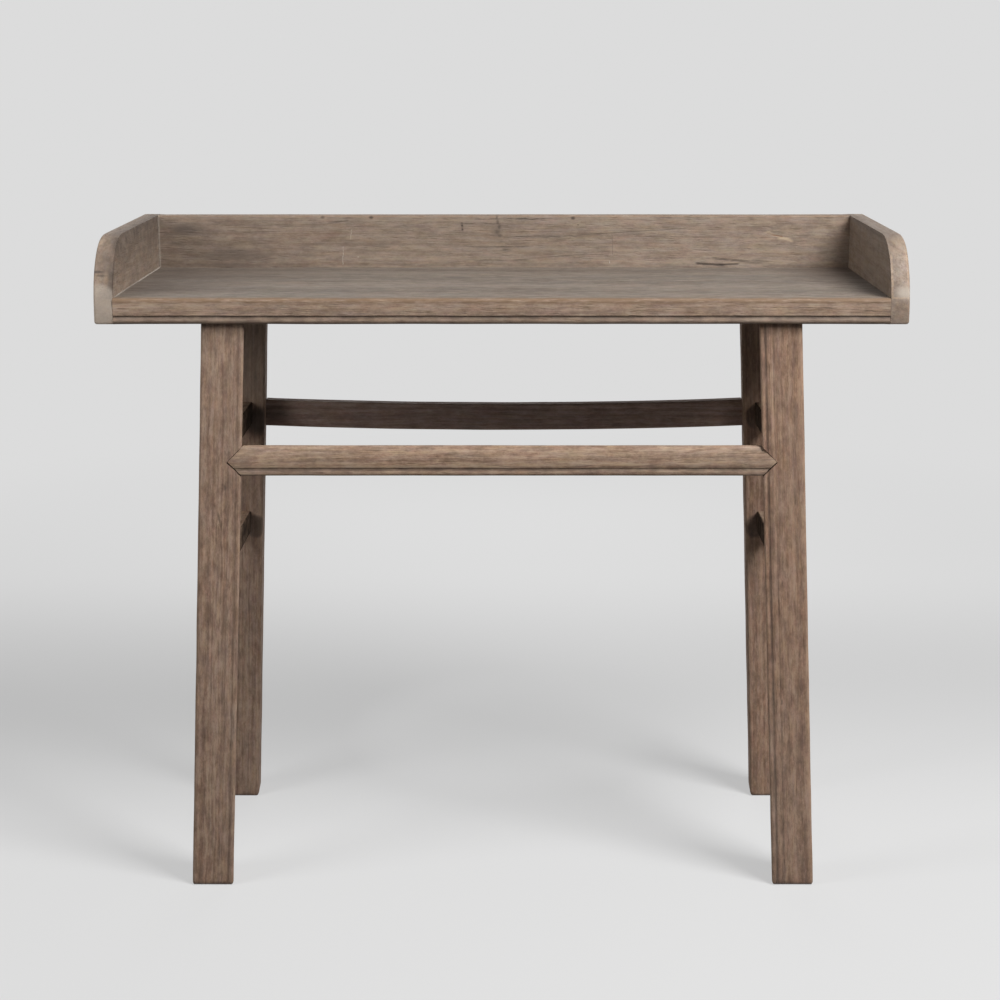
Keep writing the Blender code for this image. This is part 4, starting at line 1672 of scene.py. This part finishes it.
    def build_leg(self, side: Side, front: bool, seed: float) -> None:
        """Make one leg.

        Args:
            side: its side.
            front: whether it is a front leg.
            seed: which waves and which part of the block.
        """
        sign = side.value
        depth = -1.0 if front else 1.0
        face = self.front_face if front else self.rear_face
        name = f"{'front' if front else 'rear'}_{side.word}_leg"
        outline = [(sign * u, depth * (face - v), 0.0) for u, v in self.plan(front)]
        blank = Blank.moulding(outline, (0.0, 0.0, self.head))
        blank.slice(Axis.Z, self.cuts)
        corners = [(self.inner, self.depth), (self.outer, 0.0), (self.outer, self.depth)]
        if front:
            dirt = self.groove_soils[0 if side is Side.LEFT else 1]
            blank.darken(at(y=depth * (face - self.groove_depth)), dirt)
            blank.darken(at(y=depth * (face - self.line_depth)), 0.5 * dirt)
        else:
            corners.append((self.inner + self.rear_flare, 0.0))
        for u, v in corners:
            found = blank.edges(Axis.Z, at(sign * u, depth * (face - v)))
            blank.ease(found, self.edge, segments=4, worn=0.3)
        if front:
            found = blank.edges(Axis.Z, at(sign * (self.inner - self.flare), depth * face))
            blank.ease(found, self.bead_round * self.bead_width, segments=5, worn=0.2)
        self.round_foot(blank, sign, depth, face)
        blank.bend(self.splay.lean)
        blank.weather(depth=0.0008, pitch=0.06, seed=seed)
        piece = blank.into_object(f"{name}_finished")
        x = sign * (self.inner + self.outer) / 2
        y = depth * (face - self.depth / 2)
        half = self.tenon_side / 2
        low = (x - half, y - half, self.head - self.overlap)
        high = (x + half, y + half, self.splay.underside + self.tenon_length)
        work(piece, Blank.board(low, high), Cut.JOIN)
        if front:
            work(piece, self.notch(sign), Cut.REMOVE)
        hand_over(piece, name, self.finish(name, side, front, seed))

    def build(self) -> None:
        """Make the four legs."""
        for side, front, seed in (
            (Side.LEFT, True, 1.7),
            (Side.RIGHT, True, 6.2),
            (Side.LEFT, False, 3.9),
            (Side.RIGHT, False, 8.8),
        ):
            self.build_leg(side, front, seed)


@dataclass
class StretcherSet:
    """A moulded front stretcher, a plain rear one and two on each side."""

    legs: LegSet
    front_thickness: float = 0.026
    crown: float = 0.0078
    fall: float = 0.0039
    bead_width: float = 0.0077
    groove_width: float = 0.0018
    groove_depth: float = 0.0016
    bead_round: float = 0.36
    bead_soil: float = 0.42
    groove_soil: float = 0.8
    rise: float = 0.008
    hollow_steps: int = 5
    round_steps: int = 8
    front_cuts: int = 90
    core_start: float = 0.8
    core_below: float = 0.0006
    core_above: float = 0.0004
    rear_top: float = 0.5975
    rear_height: float = 0.0405
    rear_thickness: float = 0.022
    rear_reach: float = 0.002
    rear_wear: float = 0.0022
    rear_cuts: int = 60
    sag: float = 0.0067
    side_middle: float = 0.3594
    side_thickness: float = 0.026
    side_height: float = 0.033
    side_cuts: int = 40
    side_shades: Pair = (0.5, 1.0)
    shade_depth: float = 0.8
    shade_start: float = 0.02
    upper_top: float = 0.597
    lower_top: float = 0.438
    edge: float = 0.003
    first_seed: float = 1.1
    seed_step: float = 2.3

    @property
    def front_height(self) -> float:
        """Height of the front stretcher."""
        return self.legs.stretcher_top - self.legs.stretcher_bottom

    def front_section(self) -> list[Pair]:
        """Section of the front stretcher's moulded lip.

        Returns:
            Corners as (height above its lower edge, depth behind its face).
        """
        points = bead(self.bead_width, self.groove_width, self.groove_depth)
        foot = self.bead_width + self.groove_width
        for step in range(1, self.hollow_steps + 1):
            turn = step / self.hollow_steps * pi / 2
            points.append((foot + self.rise * (1 - cos(turn)), self.groove_depth * (1 - sin(turn))))
        start = foot + self.rise
        left = self.front_height - start
        for step in range(1, self.round_steps + 1):
            turn = step / self.round_steps * pi / 2
            points.append((start + left * sin(turn), self.crown * (1 - cos(turn))))
        back = self.legs.mitre_thickness
        return points + [(self.front_height, back), (0.0, back)]

    def front_lip(self) -> Blank:
        """Make the moulded lip with pointed shoulders on the legs' faces.

        Returns:
            The lip, leaned like the legs.
        """
        legs = self.legs
        bottom = legs.stretcher_bottom
        inner = legs.inner - legs.flare
        tip = inner + 2 * legs.mitre_depth
        face = -legs.front_face
        outline = [(-tip, face + sunk, bottom + up) for up, sunk in self.front_section()]
        blank = Blank.moulding(outline, (2 * tip, 0.0, 0.0))
        rise = self.front_height - legs.mitre_rise
        for sign in (-1, 1):
            blank.saw((sign * inner, 0.0, legs.stretcher_top), (sign * rise, 0.0, legs.mitre_depth))
            blank.saw((sign * inner, 0.0, bottom), (sign * legs.mitre_rise, 0.0, -legs.mitre_depth))
        blank.slice(Axis.X, self.front_cuts)
        blank.darken(lambda p: p.z < bottom + self.bead_width, self.bead_soil)
        blank.darken(at(y=face + self.groove_depth), self.groove_soil)
        lowest = blank.edges(Axis.X, at(y=face, z=bottom))
        blank.ease(lowest, self.bead_round * self.bead_width, segments=4, worn=0.0)
        blank.bend(legs.splay.lean)
        blank.weather(depth=0.0005, pitch=0.06, seed=2.2)
        return blank

    def front_core(self) -> Blank:
        """Make the core behind the lip, which fits between the legs.

        Returns:
            The core, leaned like the legs.
        """
        legs = self.legs
        face = -legs.front_face
        near = face + self.core_start * legs.mitre_thickness
        far = face + self.front_thickness
        bottom = legs.stretcher_bottom + self.core_below
        section = (
            (near, bottom),
            (far, bottom),
            (far, legs.stretcher_top - self.fall),
            (near, legs.stretcher_top - self.core_above),
        )
        end = legs.inner - legs.flare - legs.gap
        core = Blank.moulding([(-end, y, z) for y, z in section], (2 * end, 0.0, 0.0))
        core.ease(core.edges(Axis.X, at(y=far)), self.edge, segments=3, worn=0.3)
        widen = legs.flare / legs.depth
        core.bend(lambda p: p + Vector((copysign(widen * (p.y - face), p.x), 0.0, 0.0)))
        core.bend(legs.splay.lean)
        return core

    def build_front(self) -> None:
        """Make the front stretcher from its lip and its core."""
        piece = self.front_lip().into_object("front_stretcher_finished")
        work(piece, self.front_core(), Cut.JOIN)
        knot = Spot(INK, 0.7, 0.4, (0.2390, -0.1800, 0.5716), (0.010, 0.012, 0.0024), 0.2, 0.5)
        finish = ElmFinish(
            "front_stretcher_elm",
            STRETCHER_TONE,
            grain=(1.0, 0.0, 0.010),
            heart=(-0.04, -0.06),
            seed=4.6,
            ring_pitch=0.008,
            greying=0.4,
            contrast=1.15,
            shine=0.2,
            marks=(knot,),
        )
        hand_over(piece, "front_stretcher", finish)

    def build_rear(self) -> None:
        """Make the plain rear stretcher, which sags in the middle of its span."""
        end = self.legs.inner + self.rear_reach
        face = self.legs.rear_face
        low = (-end, face - self.rear_thickness, self.rear_top - self.rear_height)
        high = (end, face, self.rear_top - self.rear_wear)
        blank = Blank.board(low, high)
        blank.slice(Axis.X, self.rear_cuts)
        blank.ease(blank.edges(Axis.X), self.edge, segments=3, worn=0.7)
        blank.bend(lambda p: p - Vector((0.0, 0.0, self.sag * (1 - (p.x / end) ** 2))))
        blank.bend(self.legs.splay.lean)
        blank.weather(depth=0.0007, pitch=0.07, seed=5.1)
        piece = blank.into_object("rear_stretcher_finished")
        # Painted shadow on the left end of the rear stretcher
        shadow_patch = Stain(PAINTED_SHADOW, 0.60, 0.0, (-0.3300, 0.1450, 0.5760), (0.045, 0.020, 0.026), 0.1)
        finish = ElmFinish(
            "rear_stretcher_elm",
            REAR_TONE,
            grain=(1.0, 0.0, -0.006),
            heart=(0.05, -0.05),
            seed=7.3,
            ring_pitch=0.008,
            greying=0.4,
            contrast=0.9,
            shine=0.15,
            marks=(shadow_patch,),
        )
        hand_over(piece, "rear_stretcher", finish)

    def build_side(self, side: Side, level: Level, seed: float) -> None:
        """Make one side stretcher.

        Args:
            side: its side.
            level: upper or lower.
            seed: which waves and which part of the block.
        """
        legs = self.legs
        x = side.value * self.side_middle
        half = self.side_thickness / 2
        top = self.upper_top if level is Level.UPPER else self.lower_top
        start = -legs.front_face + legs.depth + legs.gap
        end = legs.rear_face - legs.depth - legs.gap
        blank = Blank.board((x - half, start, top - self.side_height), (x + half, end, top))
        blank.slice(Axis.Y, self.side_cuts)
        blank.ease(blank.edges(Axis.Y), self.edge, segments=3, worn=0.3)
        # Painted shade: darken the inner faces, fully toward the rear legs
        inward = self.side_middle - self.shade_depth * half
        before, behind = self.side_shades
        blank.darken(lambda p: abs(p.x) < inward, before)
        blank.darken(lambda p: abs(p.x) < inward and p.y > self.shade_start, behind)
        blank.bend(legs.splay.lean)
        blank.weather(depth=0.0006, pitch=0.06, seed=seed)
        name = f"{side.word}_{level.value}_stretcher"
        piece = blank.into_object(f"{name}_finished")
        # Painted shadow on the rear end of the left upper stretcher
        shadow_patch = Stain(PAINTED_SHADOW, 0.75, 0.0, (-0.3480, 0.0950, 0.5800), (0.030, 0.060, 0.040), 0.1)
        finish = ElmFinish(
            f"{name}_elm",
            STRETCHER_TONE,
            grain=(0.0, 1.0, 0.008),
            heart=(0.04, -0.05),
            seed=seed,
            ring_pitch=0.008,
            greying=0.4,
            shine=0.0,
            marks=(shadow_patch,) if side is Side.LEFT and level is Level.UPPER else (),
        )
        hand_over(piece, name, finish)

    def build(self) -> None:
        """Make the six stretchers."""
        self.build_front()
        self.build_rear()
        seed = self.first_seed
        for side in Side:
            for level in Level:
                self.build_side(side, level, seed)
                seed += self.seed_step


@dataclass
class Joinery:
    """Battens under the top, and the dowels and wedges inside the joints."""

    batten_x: float = 0.170
    batten_width: float = 0.030
    flare: float = 0.003
    drop: float = 0.010
    groove: float = 0.00825
    underside: float = UNDERSIDE
    start: float = -0.103
    end: float = 0.1634
    long_edge: float = 0.0025
    nose_edge: float = 0.002
    cuts: int = 30

    def build_batten(self, side: Side) -> None:
        """Make one dovetailed batten.

        Args:
            side: its side.
        """
        x = side.value * self.batten_x
        crown = self.batten_width / 2
        mouth = crown - self.flare
        section = (
            (-mouth, self.underside - self.drop),
            (mouth, self.underside - self.drop),
            (mouth, self.underside),
            (crown, self.underside + self.groove),
            (-crown, self.underside + self.groove),
            (-mouth, self.underside),
        )
        outline = [(x + a, self.start, z) for a, z in section]
        blank = Blank.moulding(outline, (0.0, self.end - self.start, 0.0))
        blank.slice(Axis.Y, self.cuts)
        half_way = self.underside - 0.5 * self.drop
        long_edges = blank.edges(Axis.Y, lambda p: p.z < half_way)
        blank.ease(long_edges, self.long_edge, segments=3, worn=0.7)
        rim = blank.rim(Axis.Y, self.start)
        nose = [edge for edge in rim if max(v.co.z for v in edge.verts) < self.underside]
        blank.ease(nose, self.nose_edge, segments=2, worn=0.6)
        piece = blank.into_object(f"{side.word}_batten_finished")
        finish = ElmFinish(
            f"{side.word}_batten_elm",
            JOINERY_TONE,
            grain=(0.0, 1.0, 0.0),
            heart=(0.03, -0.06),
            seed=2.9 + side.value,
            ring_pitch=0.007,
            greying=0.3,
        )
        hand_over(piece, f"{side.word}_batten", finish)

    def dress_pegs(self) -> None:
        """Give the dowels and wedges, which stay as they are, their wood."""
        peg = ElmFinish(
            "peg_elm", JOINERY_TONE, heart=(0.02, -0.03), seed=5.5, ring_pitch=0.004, greying=0.2
        )
        pegs = peg.material()
        wedges = replace(peg, name="wedge_elm", grain=UPWARD, seed=6.5).material()
        for name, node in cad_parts.items():
            if name.endswith("_wedge") or "_dowel_" in name:
                for held in node.material_slots:
                    held.material = wedges if name.endswith("_wedge") else pegs
                log.info("%s keeps its shape", name)

    def build(self) -> None:
        """Make the battens and dress the pegs."""
        for side in Side:
            self.build_batten(side)
        self.dress_pegs()


@dataclass(frozen=True)
class Lamp:
    """A soft lamp that looks at the table."""

    name: str
    bearing: float
    height: float
    distance: float
    width: float
    tall: float
    power: float
    in_gloss: bool = True


@dataclass
class Studio:
    """Pale floor, two soft lamps in front, a weak one behind, and the camera."""

    target: Triple = (0.0, 0.0, 0.45)
    camera_place: Triple = (0.0229, -2.776, 1.1044)
    pitch: float = 12.65
    focal_pixels: float = 2083.0
    lens_shift: float = -0.020
    sensor: float = 36.0
    floor_reach: float = 40.0
    floor_segments: int = 96
    floor_seen: float = 0.625
    floor_behind: float = 0.78
    behind_start: float = -0.4
    behind_end: float = 1.0
    floor_felt: float = 0.45
    floor_glow: float = 0.66
    near_reach: float = 0.9
    far_reach: float = 3.0
    # Painted light: round this point under the table the floor glows more, which lightens the table's
    # shadow
    brightening_middle: Triple = (0.0, 0.45, 0.0)
    brightening_squeeze: Triple = (1.0, 0.8, 1.0)
    brightening_rim: float = 0.65
    brightening_core: float = 0.15
    brightening_glow: float = 0.76
    # Painted shadow: a darker band across the floor and backdrop behind the table
    band_shadow_middle: float = 0.72
    band_shadow_reach: float = 0.75
    band_shadow: float = 0.872
    backdrop: float = 0.715
    ambient: float = 0.05
    lamps: tuple[Lamp, ...] = (
        Lamp("right_lamp", 48.0, 46.5, 3.1, 1.1, 2.0, 141.0),
        Lamp("left_lamp", -61.0, 33.0, 1.8, 0.6, 0.9, 12.0),
        Lamp("rear_lamp", 180.0, 12.0, 2.6, 1.6, 0.8, 16.0, False),
    )

    def seen(self, bench: NodeBench) -> bpy.types.NodeSocket:
        """Tell the rays that show the backdrop, to the camera, in gloss or through glass.

        Args:
            bench: bench of the material.

        Returns:
            1 for such rays and 0 for others.
        """
        path = bench.place("ShaderNodeLightPath").outputs
        first = bench.maths("MAXIMUM", path["Is Camera Ray"], path["Is Glossy Ray"])
        return bench.maths("MAXIMUM", first, path["Is Transmission Ray"])

    def floor_material(self) -> bpy.types.Material:
        """Make a pale floor that keeps the shadow and fades into the backdrop, with painted light and a
        painted shadow band.

        Returns:
            The material.
        """
        material = bpy.data.materials.new("pale_floor")
        material.use_nodes = True
        tree = material.node_tree
        tree.nodes.clear()
        bench = NodeBench(tree)
        seen = self.seen(bench)
        coords = bench.place("ShaderNodeTexCoord").outputs["Object"]
        place = bench.place("ShaderNodeSeparateXYZ")
        bench.feed(place.inputs[0], coords)
        behind = bench.spread(place.outputs[1], self.behind_start, self.behind_end)
        shown = bench.blend(Blend.COVER, behind, (self.floor_seen,) * 3, (self.floor_behind,) * 3)
        # Painted shadow band behind the table
        off_band_shadow = bench.maths("SUBTRACT", place.outputs[1], self.band_shadow_middle)
        off_band_shadow = bench.maths("ABSOLUTE", off_band_shadow)
        band_shadow = bench.spread(off_band_shadow, 0.0, self.band_shadow_reach, self.band_shadow, 1.0)
        shown = bench.vector("SCALE", shown, band_shadow)
        near = bench.place("ShaderNodeBsdfDiffuse")
        bench.feed(near.inputs["Color"], bench.blend(Blend.COVER, seen, (self.floor_felt,) * 3, shown))
        far = bench.place("ShaderNodeEmission")
        bench.feed(far.inputs["Color"], (self.backdrop,) * 3)
        glow = bench.spread(seen, 0.0, 1.0, self.ambient / self.backdrop, 1.0)
        bench.feed(far.inputs["Strength"], bench.maths("MULTIPLY", glow, band_shadow))
        reach = bench.length(coords)
        away = bench.spread(reach, self.near_reach, self.far_reach, self.floor_glow, 1.0)
        # Painted light that lightens the table's shadow under it
        off_brightening = bench.vector("SUBTRACT", coords, self.brightening_middle)
        off_brightening = bench.length(bench.vector("MULTIPLY", off_brightening, self.brightening_squeeze))
        brightening = bench.spread(off_brightening, self.brightening_rim, self.brightening_core, 0.0, self.brightening_glow)
        mix = bench.place("ShaderNodeMixShader")
        bench.feed(mix.inputs[0], bench.maths("MAXIMUM", away, brightening))
        bench.feed(mix.inputs[1], near.outputs[0])
        bench.feed(mix.inputs[2], far.outputs[0])
        bench.feed(bench.place("ShaderNodeOutputMaterial").inputs["Surface"], mix.outputs[0])
        return material

    def build_floor(self) -> None:
        """Lay a wide floor that meets the backdrop without a line."""
        bm = bmesh.new()
        bmesh.ops.create_circle(
            bm, cap_ends=True, segments=self.floor_segments, radius=self.floor_reach
        )
        mesh = bpy.data.meshes.new("floor")
        bm.to_mesh(mesh)
        bm.free()
        mesh.materials.append(self.floor_material())
        floor = bpy.data.objects.new("floor", mesh)
        bpy.context.scene.collection.objects.link(floor)

    def build_world(self) -> None:
        """Surround the scene with a pale backdrop that gives only a little light."""
        world = bpy.data.worlds.new("studio")
        bpy.context.scene.world = world
        world.use_nodes = True
        world.node_tree.nodes.clear()
        bench = NodeBench(world.node_tree)
        light = bench.place("ShaderNodeBackground")
        bench.feed(light.inputs["Color"], (self.backdrop,) * 3)
        strength = bench.spread(self.seen(bench), 0.0, 1.0, self.ambient / self.backdrop, 1.0)
        bench.feed(light.inputs["Strength"], strength)
        bench.feed(bench.place("ShaderNodeOutputWorld").inputs["Surface"], light.outputs[0])

    def hang_lamps(self) -> None:
        """Hang the soft lamps round the table."""
        middle = Vector(self.target)
        for lamp in self.lamps:
            turn, lift = radians(lamp.bearing), radians(lamp.height)
            way = Vector((sin(turn) * cos(lift), -cos(turn) * cos(lift), sin(lift)))
            light = bpy.data.lights.new(lamp.name, "AREA")
            light.shape = "RECTANGLE"
            light.size = lamp.width
            light.size_y = lamp.tall
            light.energy = lamp.power
            hung = bpy.data.objects.new(lamp.name, light)
            hung.location = middle + way * lamp.distance
            hung.rotation_euler = way.to_track_quat("Z", "Y").to_euler()
            hung.visible_camera = False
            hung.visible_glossy = lamp.in_gloss
            bpy.context.scene.collection.objects.link(hung)

    def set_camera(self) -> None:
        """Stand the camera where the photograph was taken."""
        camera = bpy.data.cameras.new("camera")
        camera.sensor_width = self.sensor
        camera.lens = self.focal_pixels * self.sensor / PICTURE_SIDE
        camera.shift_x = self.lens_shift
        stand = bpy.data.objects.new("camera", camera)
        stand.location = self.camera_place
        stand.rotation_euler = (radians(90.0 - self.pitch), 0.0, 0.0)
        bpy.context.scene.collection.objects.link(stand)
        bpy.context.scene.camera = stand

    def build(self) -> None:
        """Set up the studio."""
        bpy.context.scene.view_settings.view_transform = "Standard"
        self.build_floor()
        self.build_world()
        self.hang_lamps()
        self.set_camera()
        log.info("studio with %d lamps", len(self.lamps))


def main() -> None:
    """Build the table's looks and the studio."""
    logging.basicConfig(level=logging.INFO, format="%(name)s: %(message)s")
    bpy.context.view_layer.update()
    legs = LegSet(Splay())
    for group in (TableTop(), Gallery(), legs, StretcherSet(legs), Joinery(), Studio()):
        group.build()


if __name__ == "__main__":
    main()
